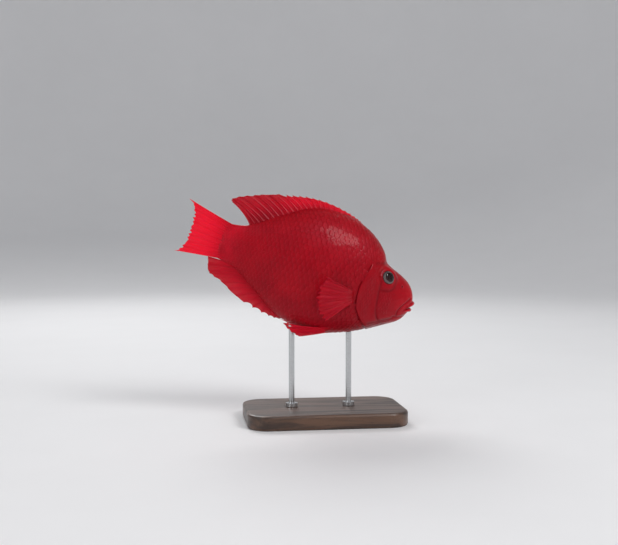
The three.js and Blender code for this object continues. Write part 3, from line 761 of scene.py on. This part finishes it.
# Fins are thin sheets with a ridge along every ray. u runs from ray to ray and v from root to tip.
medianForm = {"notch": 0.17, "flesh": 2.6, "ridge": 0.85, "perRay": 14, "rows": 44, "branching": 0.35}
pairedForm = {"ridge": 0.62, "perRay": 18, "rows": 56, "branching": 0.3, "sunk": 2.6}
dorsal = {
    **medianForm, "spines": 16, "softRays": 11, "start": 60, "end": 151, "sunk": 1.6, "bow": 1.6,
    "wave": 0.9,
    "edge": [(60, 46.2), (66, 49.8), (78, 53.4), (95, 55.4), (112, 55), (128, 52), (142, 48), (156, 43),
             (170.5, 36.5), (171.5, 33)],
}
anal = {
    **medianForm, "spines": 6, "softRays": 9, "start": 103, "end": 154.5, "sunk": -1.6, "bow": 0.5,
    "wave": 0.8,
    "edge": [(103, -47.8), (109, -49.2), (118, -48.4), (132, -45.4), (146, -40.6), (159, -33.4),
             (169.5, -29.4), (174, -26.8), (176.8, -15.8)],
}
caudal = {
    "spines": 0, "softRays": 17, "rootStation": 157, "rootHalf": 13.6, "rearStation": 197,
    "cornerStation": 204, "upperCorner": 25, "lowerCorner": -19, "wave": 1.1, "notch": 0.02,
    "flesh": 3.6, "ridge": 0.85, "perRay": 20, "rows": 76, "branching": 0.22,
}
pectoral = {
    **pairedForm, "spines": 0, "softRays": 12, "notch": 0.02, "flesh": 1.8, "wave": 0.7,
    "station": 56, "height": -12.5, "rootHalf": 5.2, "length": 36, "spread": math.radians(25),
    "along": unit(np.array([-0.87, 0.4, -0.3])), "rootLine": np.array([-0.1, 0.1, 1]), "cup": 3, "elbow": 7,
}
pelvic = {
    **pairedForm, "spines": 1, "softRays": 5, "notch": 0.12, "flesh": 1.7, "wave": 0.3, "station": 60,
    # a ray's place at the root, where it bends and where it ends: station, distance aside and height
    "outer": {"side": 11.5, "elbow": (78, 13.5, -48), "tip": (104, 15.5, -49.3)},
    "inner": {"side": 3.9, "elbow": (77, 6.5, -53.6), "tip": (87, 9, -56.9)},
    "fullness": 2,
}
finSheet = {"thick": 0.3, "softNotch": 0.022, "slack": 0.28, "edgeShare": 0.7}


def bent(start, elbow, tip, w):
    return start * (1 - w) ** 2 + 2 * elbow * w * (1 - w) + tip * w ** 2


def arc(share, full):
    return (1 - share ** full) ** (1 / full)


def flankAt(station, height):
    # how far aside the solids reach at a height under their widest line
    _, bottom, widest, half = sectionAt(station, 0)
    return half * arc((widest - height) / (widest - bottom), line["bellyFullness"](station))


def undersideAt(station, aside):
    _, bottom, widest, half = sectionAt(station, 0)
    return widest - (widest - bottom) * arc(aside / half, line["bellyFullness"](station))


def rayField(position, v, spines, branching):
    # how close each point is to a ray, which splits twice on its way out where it is a soft one
    ray = np.round(position)
    off = np.abs(position - ray)
    soft = ray >= spines
    first = np.where(soft, 0.17 * smoothStep(branching, 1.25, v), 0)
    second = np.where(soft, 0.08 * smoothStep(branching + 0.22, 1.3, v), 0)
    nearest = np.minimum(np.abs(off - first - second), np.abs(off - np.maximum(first - second, 0)))
    width = np.where(soft, mix(0.13, 0.055, smoothStep(0, 1, v)), mix(0.12, 0.07, v))
    return np.exp(-(nearest / width) ** 2)


def buildFin(name, fin, middle, waveAxis=(0, 1, 0)):
    spines, last = fin["spines"], fin["spines"] + fin["softRays"] - 1
    position = np.linspace(0, last, last * fin["perRay"] + 1)[None, :]
    v = (np.linspace(0, 1, fin["rows"] + 1) ** 0.9)[:, None]
    between = position - np.floor(np.minimum(position, last - 1e-9))
    cut = np.where(np.floor(position) < spines, fin["notch"], finSheet["softNotch"])
    ragged = 0.012 * np.sin(position * 5.1 + 0.7) + 0.009 * np.sin(position * 2.3 + 2.0)
    tip = 1 - cut * np.sin(np.pi * between) ** 0.65 + ragged * (np.floor(position) >= spines)
    u, reach, position, between = np.broadcast_arrays(position / last, v * tip, position, between)
    points = middle(u, reach)
    nearRay = rayField(position, reach, spines, fin["branching"])
    slack = np.sin(np.pi * between) * np.where(np.floor(position) % 2 == 0, 1, -1)
    billow = fin["wave"] * reach ** 1.5 * np.sin(2 * np.pi * (1.15 * u + 0.18))
    billow = billow + finSheet["slack"] * reach * slack
    points = points + billow[..., None] * np.array(waveAxis, dtype=float)
    thick = finSheet["thick"] + fin["flesh"] * np.clip(1 - reach, 0, 1) ** 3.2
    thick = thick + nearRay * mix(fin["ridge"], fin["ridge"] * 0.42, smoothStep(0, 1, reach))
    thick = thick * mix(1, finSheet["edgeShare"], smoothStep(0.93, 1, v))
    thick[0] = thick[-1] = 0
    down, across = np.gradient(points, axis=0), np.gradient(points, axis=1)
    proud = unit(np.cross(across, down)) * (thick / 2)[..., None]

    def shut(front, back):
        # one side, back along the other, and shut where they meet
        return np.concatenate([front, back[:, ::-1], front[:, :1]], axis=1)

    piece = gridPiece(name, toWorld(shut(points + proud, points - proud)))
    addMask(piece, "ray", shut(nearRay, nearRay))
    addMask(piece, "out", shut(reach, reach))
    closeUp(piece)
    return piece


def medianFin(name, fin, edgeOfBody):
    def middle(u, v):
        rootStation = mix(fin["start"], fin["end"], u)
        root = np.stack([rootStation, edgeOfBody(rootStation) - fin["sunk"]], -1)
        tip = spline(fin["edge"], u)
        lean = unit(tip - root)
        bow = (-fin["bow"] * 4 * v * (1 - v) * smoothStep(0, 0.3, u))[..., None]
        at = mix(root, tip, v[..., None]) + np.stack([lean[..., 1], -lean[..., 0]], -1) * bow
        return np.stack([-at[..., 0], np.zeros_like(v), at[..., 1]], -1)

    return buildFin(name, fin, middle)


def caudalFin():
    def middle(u, v):
        spread = 2 * u - 1
        tipHeight = mix(caudal["upperCorner"], caudal["lowerCorner"], u)
        tipStation = mix(caudal["rearStation"], caudal["cornerStation"], spread ** 4)
        station = mix(caudal["rootStation"], tipStation, v)
        height = mix(-spread * caudal["rootHalf"], tipHeight, v ** 1.15)
        return np.stack([-station, np.zeros_like(v), height], -1)

    return buildFin("caudal_fin_skin", caudal, middle)


def pectoralFin(sideName, side):
    mirror = np.array([1, side, 1])
    along, rootLine = pectoral["along"] * mirror, pectoral["rootLine"] * mirror
    normal = unit(np.cross(along, rootLine))
    across = unit(np.cross(normal, along))
    station, height = pectoral["station"], pectoral["height"]
    root = np.array([-station, flankAt(station, height) * side, height])

    def middle(u, v):
        spread = 1 - 2 * u
        reach = pectoral["length"] * (0.62 + 0.38 * np.sin(np.pi * (0.2 + 0.62 * u)) ** 0.8)
        turn = pectoral["spread"] * spread
        start = root + across * (pectoral["rootHalf"] * spread)[..., None]
        tip = start + across * (reach * np.sin(turn))[..., None] + along * (reach * np.cos(turn))[..., None]
        elbow = start + along * pectoral["elbow"] * 0.5 + np.array([0, side * pectoral["elbow"], 0])
        start = start - np.array([0, side * pectoral["sunk"], 0])
        ray = bent(start, elbow, tip, v[..., None])
        return ray + normal * (side * pectoral["cup"] * v * v * spread * spread)[..., None]

    return buildFin(f"pectoral_fin_skin_{sideName}", pectoral, middle, normal)


def pelvicFin(sideName, side):
    def between(name, u):
        outer, inner = (np.array(pelvic[ray][name], dtype=float) for ray in ("outer", "inner"))
        at = mix(outer, inner, u[..., None])
        return np.stack([-at[..., 0], side * at[..., 1], at[..., 2]], -1)

    def middle(u, v):
        aside = mix(pelvic["outer"]["side"], pelvic["inner"]["side"], u)
        station = np.full(u.shape, float(pelvic["station"]))
        root = np.stack([-station, side * aside, undersideAt(station, aside) + pelvic["sunk"]], -1)
        ray = bent(root, between("elbow", u), between("tip", u), v[..., None])
        ray[..., 2] -= pelvic["fullness"] * np.sin(np.pi * u) * v ** 2  # the fan is fuller in its middle
        return ray

    return buildFin(f"pelvic_fin_skin_{sideName}", pelvic, middle, (0, 0.6 * side, -0.8))


def buildFins():
    fins = {
        "dorsal_fin": medianFin("dorsal_fin_skin", dorsal, line["back"]),
        "anal_fin": medianFin("anal_fin_skin", anal, line["belly"]),
        "caudal_fin": caudalFin(),
    }
    for sideName, side in sides.items():
        fins[f"pectoral_fin_{sideName}"] = pectoralFin(sideName, side)
        fins[f"pelvic_fin_{sideName}"] = pelvicFin(sideName, side)
    for node, piece in fins.items():
        print(node, len(piece.data.polygons), "faces")
    return fins


finPieces = buildFins()

# Eyes: a ball with a ring-shaped iris, a large dark pupil set forward in it, and a clear cornea in front.
iris = {"outer": 5.25, "inner": 3.8, "forward": (0.75, 0.42), "lid": 5.86, "lidThick": 0.42, "columns": 72}


def eyePlace(local, side):
    # a point given as along the head, up it and out of it, put on the fish
    out = eye["outwards"]
    up = unit(np.array([0, 0, 1]) - out * out[2])
    ahead = np.cross(out, up)
    points = eyeSurface + local[..., [0]] * ahead + local[..., [1]] * up + local[..., [2]] * out
    return points * np.array([1, side, 1])


def roundForm(name, profile, side):
    # a grid turned about the eye's axis. A profile's points: radius, height, and share of the shift forward
    turn = wholeTurn(iris["columns"])
    forward, up = iris["forward"]
    rings = [np.stack([radius * np.cos(turn) + forward * share, radius * np.sin(turn) + up * share,
                       np.full_like(turn, height)], -1) for radius, height, share in profile]
    piece = gridPiece(name, toWorld(eyePlace(np.array(rings), side)))
    addMask(piece, "radius", np.repeat([point[0] for point in profile], len(turn)))
    closeUp(piece)
    return piece


def ballHeight(radius):
    deep = eye["radius"] * eye["flattened"]
    return float(deep * np.sqrt(np.maximum(0, 1 - (radius / eye["radius"]) ** 2)) - eye["sunk"])


def ballProfile():
    outer, inner = iris["outer"], iris["inner"]
    deep = eye["radius"] * eye["flattened"]
    profile = [(0, -deep - eye["sunk"] + 0.3, 0)]
    for angle in np.radians(np.linspace(-80, 0, 14)):
        profile.append((eye["radius"] * math.cos(angle), -eye["sunk"] + (deep - 0.15) * math.sin(angle), 0))
    for r in np.linspace(7.0, outer + 0.35, 8):
        profile.append((r, ballHeight(r) - 0.06, 0))
    rim = ballHeight(outer)
    profile += [(outer + 0.12, rim - 0.12, 0.1), (outer, rim - 0.34, 0.2)]
    for share in np.linspace(0.04, 1, 12):
        rise = 0.16 * math.sin(math.pi * min(1, share * 1.1))
        profile.append((mix(outer - 0.08, inner, share), rim - 0.4 + 0.42 * share + rise, mix(0.2, 1, share)))
    edge = profile[-1][1]
    profile += [(inner - 0.1, edge - 0.06, 1), (inner - 0.16, edge - 0.3, 1)]
    for angle in np.radians(np.linspace(12, 90, 12)):
        profile.append(((inner - 0.18) * math.cos(angle), edge - 0.42 + 0.72 * math.sin(angle), 1))
    return profile


def corneaProfile():
    # the clear front reaches down behind the iris, so that no air lies between them
    outer = iris["outer"]
    profile = [(r, ballHeight(outer) - 1.5, 0) for r in (0, 2.5, outer - 0.2)]
    profile.append((outer + 0.05, ballHeight(outer) - 1.2, 0))
    profile.append((outer + 0.22, ballHeight(outer + 0.22) - 0.1, 0))
    return profile + [(r, ballHeight(r) + 0.06, 0) for r in np.linspace(outer + 0.16, 0, 26)]


def buildLid(sideName, side):
    radius, thick = iris["lid"], iris["lidThick"]
    bpy.ops.mesh.primitive_torus_add(major_segments=96, minor_segments=16, major_radius=radius * mm,
                                     minor_radius=thick * mm)
    lid = bpy.context.active_object
    lid.name = lid.data.name = f"eyelid_{sideName}"
    points = np.zeros(len(lid.data.vertices) * 3)
    lid.data.vertices.foreach_get("co", points)
    points = points.reshape(-1, 3) / mm
    points[:, 2] = points[:, 2] * 0.8 + ballHeight(radius) - 0.02
    lid.data.vertices.foreach_set("co", toWorld(eyePlace(points, side)).reshape(-1))
    closeUp(lid)
    return lid


def buildEye(sideName, side):
    ball = roundForm(f"eyeball_{sideName}", ballProfile(), side)
    cornea = roundForm(f"cornea_{sideName}", corneaProfile(), side)
    return ball, cornea, buildLid(sideName, side)


eyes = {sideName: buildEye(sideName, side) for sideName, side in sides.items()}
print("eyes made")


class Nodes:
    # a tree of shader nodes and short ways to add to it. A value can be another node's output
    def __init__(self, tree):
        self.tree = tree
        self.column = -300

    def put(self, socket, value):
        if isinstance(value, bpy.types.NodeSocket):
            self.tree.links.new(value, socket)
        else:
            socket.default_value = value

    def add(self, kind, inputs, **settings):
        self.column -= 40
        node = self.tree.nodes.new("ShaderNode" + kind)
        node.location = (self.column, 300 + self.column % 400)
        for name, value in settings.items():
            setattr(node, name, value)
        for name, value in inputs.items():
            self.put(node.inputs[name], value)
        return node.outputs

    def math(self, operation, *values):
        return self.add("Math", dict(enumerate(values)), operation=operation)[0]

    def times(self, a, b):
        return self.math("MULTIPLY", a, b)

    def vector(self, operation, *values):
        return self.add("VectorMath", dict(enumerate(values)), operation=operation)

    def span(self, value, low, high, toLow=0.0, toHigh=1.0, kind="SMOOTHSTEP"):
        inputs = {"Value": value, "From Min": low, "From Max": high, "To Min": toLow, "To Max": toHigh}
        return self.add("MapRange", inputs, interpolation_type=kind)["Result"]

    def blend(self, factor, a, b, kind="MIX"):
        inputs = {"Factor": factor, "A": a, "B": b}
        return self.add("Mix", inputs, data_type="RGBA", blend_type=kind)["Result"]

    def layers(self, colour, *coats):
        # each coat: where it lies, and its colour
        for share, tone in coats:
            colour = self.blend(share, colour, tone)
        return colour

    def stretch(self, place, scale):
        return self.add("Mapping", {"Vector": place, "Scale": scale})[0]

    def noise(self, place, scale, detail, **more):
        return self.add("TexNoise", {"Vector": place, "Scale": scale, "Detail": detail, **more})[0]

    def use(self, group, **values):
        return self.add("Group", values, node_tree=group)[0]


def newGroup(name, inputs, output):
    # a node group, its inputs and its one output, each given as a name and a kind
    tree = bpy.data.node_groups.new(name, "ShaderNodeTree")
    for way, sockets in (("INPUT", inputs), ("OUTPUT", output)):
        for socketName, kind in sockets.items():
            tree.interface.new_socket(name=socketName, in_out=way, socket_type="NodeSocket" + kind)
    return Nodes(tree), tree.nodes.new("NodeGroupInput").outputs, tree.nodes.new("NodeGroupOutput").inputs[0]


def mottleGroup():
    # slow and fine cloudiness that lightens and darkens a colour
    inputs = {"Vector": "Vector", "Color": "Color", "Dark": "Color", "Scale": "Float", "Amount": "Float"}
    group, given, result = newGroup("mottle", inputs, {"Color": "Color"})
    place, size = given["Vector"], given["Scale"]
    slow = group.noise(place, size, 3.0, Roughness=0.55)
    fine = group.noise(place, group.times(size, 7.0), 2.0, Roughness=0.6)
    cloud = group.span(group.math("MULTIPLY_ADD", fine, 0.35, slow), 0.45, 0.9, kind="LINEAR")
    strength = group.times(cloud, given["Amount"])
    group.put(result, group.blend(strength, given["Color"], given["Dark"]))
    return group.tree


def grainGroup():
    # fine relief of skin: soft pores over a slower unevenness
    inputs = {"Vector": "Vector", "Scale": "Float", "Pores": "Float"}
    group, given, result = newGroup("grain", inputs, {"Height": "Float"})
    place, size = given["Vector"], given["Scale"]
    pores = group.add("TexVoronoi", {"Vector": place, "Scale": size}, feature="F1")["Distance"]
    dip = group.span(pores, 0.0, 0.45, -1.0, 0.0, kind="LINEAR")
    noise = group.noise(place, size, 3.0)
    group.put(result, group.math("ADD", noise, group.times(dip, given["Pores"])))
    return group.tree


mottle, grain = mottleGroup(), grainGroup()


class Finish(Nodes):
    # one material
    def __init__(self, name, **values):
        self.material = bpy.data.materials.new(name)
        self.material.use_nodes = True
        super().__init__(self.material.node_tree)
        self.wear(**values)

    def wear(self, **values):
        shader = self.tree.nodes["Principled BSDF"]
        for name, value in values.items():
            self.put(shader.inputs[name.replace("_", " ")], value)

    def place(self):
        return self.add("TexCoord", {})["Object"]

    def mask(self, name, amount=1.0):
        mask = self.add("Attribute", {}, attribute_name=name)["Fac"]
        return mask if amount == 1.0 else self.times(mask, amount)

    def map(self, name):
        return self.add("UVMap", {}, uv_map=name)["UV"]

    def station(self, place):
        # how far along the fish a point lies, in metres from the lips
        c, s = math.cos(body["pitch"]), math.sin(body["pitch"])
        run = self.vector("DOT_PRODUCT", place, (-c, 0, s))["Value"]
        return self.math("ADD", run, (body["place"][0] * c - body["place"][2] * s) * mm)

    def bump(self, height, strength, distance):
        inputs = {"Height": height, "Strength": strength, "Distance": distance}
        self.wear(Normal=self.add("Bump", inputs)["Normal"])


paint = {
    "crimson": (0.40, 0.0025, 0.008, 1),
    "deep": (0.24, 0.0012, 0.005, 1),
    "belly": (0.50, 0.004, 0.014, 1),
    # painted shade: the fold paint darkens creases, the gill slit and the eye's socket
    "fold": (0.09, 0.001, 0.003, 1),
    "lip": (0.46, 0.012, 0.024, 1),
    # painted shade: the mouth paint darkens the inside of the mouth and the pits
    "mouth": (0.05, 0.004, 0.005, 1),
    "rim": (0.52, 0.012, 0.028, 1),
    "fin": (0.92, 0.008, 0.034, 1),
    "ray": (0.60, 0.004, 0.016, 1),
    "finRoot": (0.44, 0.003, 0.010, 1),
    "tailRoot": (0.70, 0.005, 0.020, 1),
}
# the belly's and tail's brighter paint, and a painted shade on the cheeks
markingsAndShade = {
    "cheek": (-52, 0, -14), "cheekShadeReach": (0.024, 0.044), "cheekShade": 0.6,
    "belly": (0.075, 0.115), "tail": (0.145, 0.168),
}
flesh = {
    "Specular_IOR_Level": 0.3, "Specular_Tint": (1.0, 0.2, 0.3, 1), "Subsurface_Radius": (1.0, 0.12, 0.1),
}


def bodyColour(finish, place):
    # painted shade on the cheeks, and brighter low on the belly and towards the tail, all a little cloudy
    low = finish.span(finish.add("SeparateXYZ", {0: place})["Z"], *markingsAndShade["belly"], 1.0, 0.0)
    # painted shade on the cheeks, strongest round the middle given
    away = finish.vector("DISTANCE", place, toWorld(markingsAndShade["cheek"]))["Value"]
    cheek = finish.span(away, *markingsAndShade["cheekShadeReach"], markingsAndShade["cheekShade"], 0.0)
    tail = finish.span(finish.station(place), *markingsAndShade["tail"])
    base = finish.layers(paint["crimson"], (low, paint["belly"]), (cheek, paint["deep"]),
                         (tail, paint["tailRoot"]))
    return finish.use(mottle, Vector=place, Color=base, Dark=paint["deep"], Scale=42.0, Amount=0.75)


def skinFinish():
    finish = Finish("wetSkin", **flesh, Coat_Weight=0.11, Coat_Roughness=0.14, Subsurface_Weight=0.1,
                    Subsurface_Scale=0.002)
    place = finish.place()
    # the fold mask paints shade into creases and the gill slit, the mouth mask paints the mouth and pits dark
    # as shade
    colour = finish.layers(bodyColour(finish, place), (finish.mask("lip", 0.75), paint["lip"]),
                           (finish.mask("fold", 0.5), paint["fold"]), (finish.mask("mouth"), paint["mouth"]))
    small = finish.use(grain, Vector=place, Scale=1700.0, Pores=0.6)
    finish.wear(Base_Color=colour, Roughness=finish.span(small, -0.3, 1.0, 0.42, 0.3))
    finish.bump(small, 0.22, 0.0003)
    return finish.material


def scaleFinish():
    finish = Finish("scales", **flesh, Coat_Weight=0.1, Coat_Roughness=0.12, Subsurface_Weight=0.06,
                    Subsurface_Scale=0.0015)
    place = finish.place()
    colour = finish.layers(bodyColour(finish, place), (finish.mask("shade", 0.28), paint["deep"]),
                           (finish.mask("edge", 0.3), paint["rim"]))
    # growth rings round the root of each scale, and fine rays that fan out from it
    middle = finish.vector("SUBTRACT", finish.map("scaleMap"), (0.15, 0.5, 0))["Vector"]
    flat = finish.add("SeparateXYZ", {0: middle})
    rings = finish.math("SINE", finish.times(finish.vector("LENGTH", middle)["Value"], 120.0))
    fan = finish.math("SINE", finish.times(finish.math("ARCTAN2", flat["Y"], flat["X"]), 34.0))
    carved = finish.math("ADD", finish.times(rings, 0.4), finish.times(fan, 0.22))
    small = finish.use(grain, Vector=place, Scale=700.0, Pores=0.2)
    finish.bump(finish.math("ADD", carved, small), 0.3, 0.00012)
    finish.wear(Base_Color=colour, Roughness=finish.span(small, 0.2, 0.9, 0.4, 0.3))
    return finish.material


# Painted light and shade: each fin is brightened or darkened by how lit it looks, the tail as if lit from
# behind
finLitTones = {
    # shares of the fin paints as painted light and shade, how far the web lets light through, and the fin's
    # painted light graded between two stations
    "dorsal_fin": {"fin": 0.78, "ray": 0.84, "finRoot": 0.84, "clear": 0.18,
                   "grade": ((0.114, 1.0), (0.142, 0.62))},
    "anal_fin": {"fin": 0.52, "ray": 0.6, "finRoot": 0.84, "clear": 0.18},
    "caudal_fin": {"fin": 1.08, "ray": 1.45, "finRoot": 1.5, "clear": 0.14,
                   "grade": ((0.168, 0.7), (0.190, 1.0))},
    "pectoral_fin": {"fin": 0.5, "ray": 0.6, "finRoot": 0.7, "clear": 0.35},
    "pelvic_fin": {"fin": 0.9, "ray": 1.1, "finRoot": 1.1, "clear": 0.2},
}


def grey(share):
    return (share, share, share, 1)


def finFinish(name, litTones):
    finish = Finish(name, **flesh, Roughness=0.38, Coat_Weight=0.1, Coat_Roughness=0.2,
                    Subsurface_Weight=0.35, Subsurface_Scale=0.003)
    place = finish.place()
    rays, out = finish.mask("ray"), finish.mask("out")
    web, ray, root = ([min(1, part * litTones[tone]) for part in paint[tone][:3]] + [1]
                      for tone in ("fin", "ray", "finRoot"))
    colour = finish.layers(root, (finish.span(out, 0.04, 0.55), web), (finish.times(rays, 0.7), ray))
    colour = finish.use(mottle, Vector=place, Color=colour, Dark=ray, Scale=60.0, Amount=0.5)
    # painted light and shade, graded along the fin between two stations
    if "grade" in litTones:
        (start, ahead), (end, behind) = litTones["grade"]
        grade = finish.blend(finish.span(finish.station(place), start, end), grey(ahead), grey(behind))
        colour = finish.blend(1.0, colour, grade, kind="MULTIPLY")
    # the rays are jointed, and the web between them is finely pleated
    joints = finish.times(finish.math("SINE", finish.times(out, 230.0)), rays)
    joints = finish.times(joints, finish.span(out, 0.25, 0.5))
    small = finish.use(grain, Vector=place, Scale=1400.0, Pores=0.3)
    finish.bump(finish.math("ADD", joints, small), 0.35, 0.00018)
    thin = finish.times(finish.math("SUBTRACT", 1.0, rays), finish.span(out, 0.15, 0.95))
    finish.wear(Base_Color=colour, Alpha=finish.math("SUBTRACT", 1.0, finish.times(thin, litTones["clear"])))
    return finish.material


def eyeFinish():
    finish = Finish("eyeball", Roughness=0.3, Specular_IOR_Level=0.04)
    radius = finish.mask("radius")
    outer, inner = iris["outer"], iris["inner"]
    fibres = finish.noise(finish.stretch(finish.map("UVMap"), (150, 10, 1)), 1.0, 3.0)
    # from the pupil outwards: the fibrous ring, its shaded edge, a dark line, and past the rim the crease's
    # painted shade where the ball goes under the skin
    ring = finish.layers(
        (0.09, 0.07, 0.07, 1),
        (finish.span(fibres, 0.3, 0.75), (0.36, 0.28, 0.28, 1)),
        (finish.span(radius, inner + 1.0, outer - 0.1), (0.17, 0.13, 0.13, 1)),
        (finish.span(radius, outer - 0.25, outer), (0.012, 0.016, 0.018, 1)),
        (finish.span(radius, outer + 0.2, outer + 0.7), paint["fold"]))
    pupil = finish.span(radius, inner - 0.08, inner + 0.12)
    finish.wear(Base_Color=finish.blend(pupil, (0.018, 0.001, 0.001, 1), ring))
    finish.bump(fibres, 0.25, 0.0002)
    return finish.material


def corneaFinish():
    clear = (0.97, 0.99, 0.985, 1)
    return Finish("cornea", Base_Color=clear, Roughness=0.02, IOR=1.34, Transmission_Weight=1.0).material


def woodFinish():
    finish = Finish("oiledWood", Coat_Weight=0.18, Coat_Roughness=0.25)
    place = finish.place()
    growth = finish.noise(finish.stretch(place, (9, 90, 120)), 1.0, 5.0, Distortion=1.4)
    pores = finish.noise(finish.stretch(place, (110, 1500, 1500)), 1.0, 2.0)
    colour = finish.layers(
        (0.030, 0.014, 0.008, 1),
        (finish.span(growth, 0.32, 0.68), (0.115, 0.055, 0.030, 1)),
        (finish.span(pores, 0.58, 0.75, 0.0, 0.65), (0.012, 0.006, 0.004, 1)))
    finish.wear(Base_Color=colour, Roughness=finish.span(growth, 0.3, 0.7, 0.46, 0.34))
    finish.bump(pores, 0.25, 0.0002)
    return finish.material


def steelFinish():
    finish = Finish("brushedSteel", Metallic=1.0)
    brushed = finish.noise(finish.stretch(finish.place(), (40, 40, 9000)), 1.0, 2.0)
    finish.wear(Base_Color=finish.blend(brushed, (0.50, 0.51, 0.52, 1), (0.58, 0.59, 0.60, 1)),
                Roughness=finish.span(brushed, 0.3, 0.7, 0.22, 0.32))
    finish.bump(brushed, 0.08, 0.00005)
    return finish.material


def studioFinish():
    finish = Finish("paleStudio", Roughness=0.7)
    pale, dark = (0.86, 0.855, 0.86, 1), (0.80, 0.795, 0.80, 1)
    cloudy = finish.use(mottle, Vector=finish.place(), Color=pale, Dark=dark, Scale=2.0, Amount=0.5)
    finish.wear(Base_Color=cloudy)
    return finish.material


def wearOnly(piece, material):
    piece.data.materials.clear()
    piece.data.materials.append(material)


def dress(piece, material, slot, *replaced):
    wearOnly(piece, material)
    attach(piece, "root")
    if replaced:
        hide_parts(*replaced)


wetSkin, scaleCoat, steel = skinFinish(), scaleFinish(), steelFinish()
eyeball, clearCornea = eyeFinish(), corneaFinish()
membranes = {fin: finFinish(f"{fin.split('_')[0]}Membrane", litTones) for fin, litTones in finLitTones.items()}
dress(skinPiece, wetSkin, "skin", "head", "lower_jaw", "gill_cover_left", "gill_cover_right", "trunk",
      "tail_stalk")
for piece in scalePieces:
    dress(piece, scaleCoat, "skin")
for piece in pitPieces:
    dress(piece, wetSkin, "skin")
for node, piece in finPieces.items():
    dress(piece, membranes[node.removesuffix("_left").removesuffix("_right")], "fin", node)
for sideName, (ball, cornea, lid) in eyes.items():
    dress(ball, eyeball, "eye", f"eye_{sideName}")
    dress(cornea, clearCornea, "eye")
    dress(lid, wetSkin, "skin")
for node, material in (("stand_base", woodFinish()), ("stand_rod_front", steel), ("stand_rod_back", steel)):
    wearOnly(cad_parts[node], material)
print("finishes made")

# The studio: a pale floor that curves up all round, soft lamps and the camera.
studio = {
    "radius": 2.6, "height": 2.2, "curve": 1.1, "rings": 18, "columns": 96,
    "lamps": [
        # each: its name, place, size, power
        ("key", (0.75, -1.05, 1.15), 0.7, 14),
        ("fill", (-1.3, -0.9, 0.55), 1.0, 4),
        ("rim", (-0.25, 1.1, 1.1), 0.8, 9),
    ],
    "sky": 0.32, "skyColour": (0.92, 0.95, 1, 1),
}
view = {"azimuth": -8, "elevation": 3, "distance": 0.855, "lens": 60, "at": (-0.0124, 0, 0.1238)}


def buildStudio():
    # a round floor, its edge curved up into a wall
    radius, curve = studio["radius"], studio["curve"]
    bend = np.radians(np.linspace(-90, 0, studio["rings"] + 1))
    out = np.r_[0, radius - curve + curve * np.cos(bend), radius][:, None]
    high = np.r_[0, curve + curve * np.sin(bend), studio["height"]][:, None]
    turn = wholeTurn(studio["columns"])[None, :]
    form = np.broadcast_arrays(out * np.cos(turn), out * np.sin(turn), high)
    room = gridPiece("studio_floor", np.stack(form, -1))
    closeUp(room)
    room.data.materials.append(studioFinish())


def aimAt(thing, target):
    thing.rotation_euler = (Vector(target) - thing.location).to_track_quat("-Z", "Y").to_euler()


def buildLights():
    for name, place, size, power in studio["lamps"]:
        bpy.ops.object.light_add(type="AREA", location=place)
        lamp = bpy.context.active_object
        lamp.name = name
        lamp.data.shape = "DISK"
        lamp.data.size = size
        lamp.data.energy = power
        aimAt(lamp, view["at"])
    world = bpy.data.worlds.new("softSky")
    bpy.context.scene.world = world
    world.use_nodes = True
    background = world.node_tree.nodes["Background"]
    background.inputs["Color"].default_value = studio["skyColour"]
    background.inputs["Strength"].default_value = studio["sky"]


def buildCamera():
    turn, lift = math.radians(view["azimuth"]), math.radians(view["elevation"])
    ahead = Vector((-math.sin(turn) * math.cos(lift), math.cos(turn) * math.cos(lift), -math.sin(lift)))
    bpy.ops.object.camera_add(location=Vector(view["at"]) - ahead * view["distance"])
    camera = bpy.context.active_object
    camera.data.lens = view["lens"]
    camera.data.sensor_width = 36
    camera.data.clip_start = 0.01
    aimAt(camera, view["at"])
    bpy.context.scene.camera = camera
    bpy.context.scene.view_settings.view_transform = "Standard"


buildStudio()
buildLights()
buildCamera()
print("studio ready")
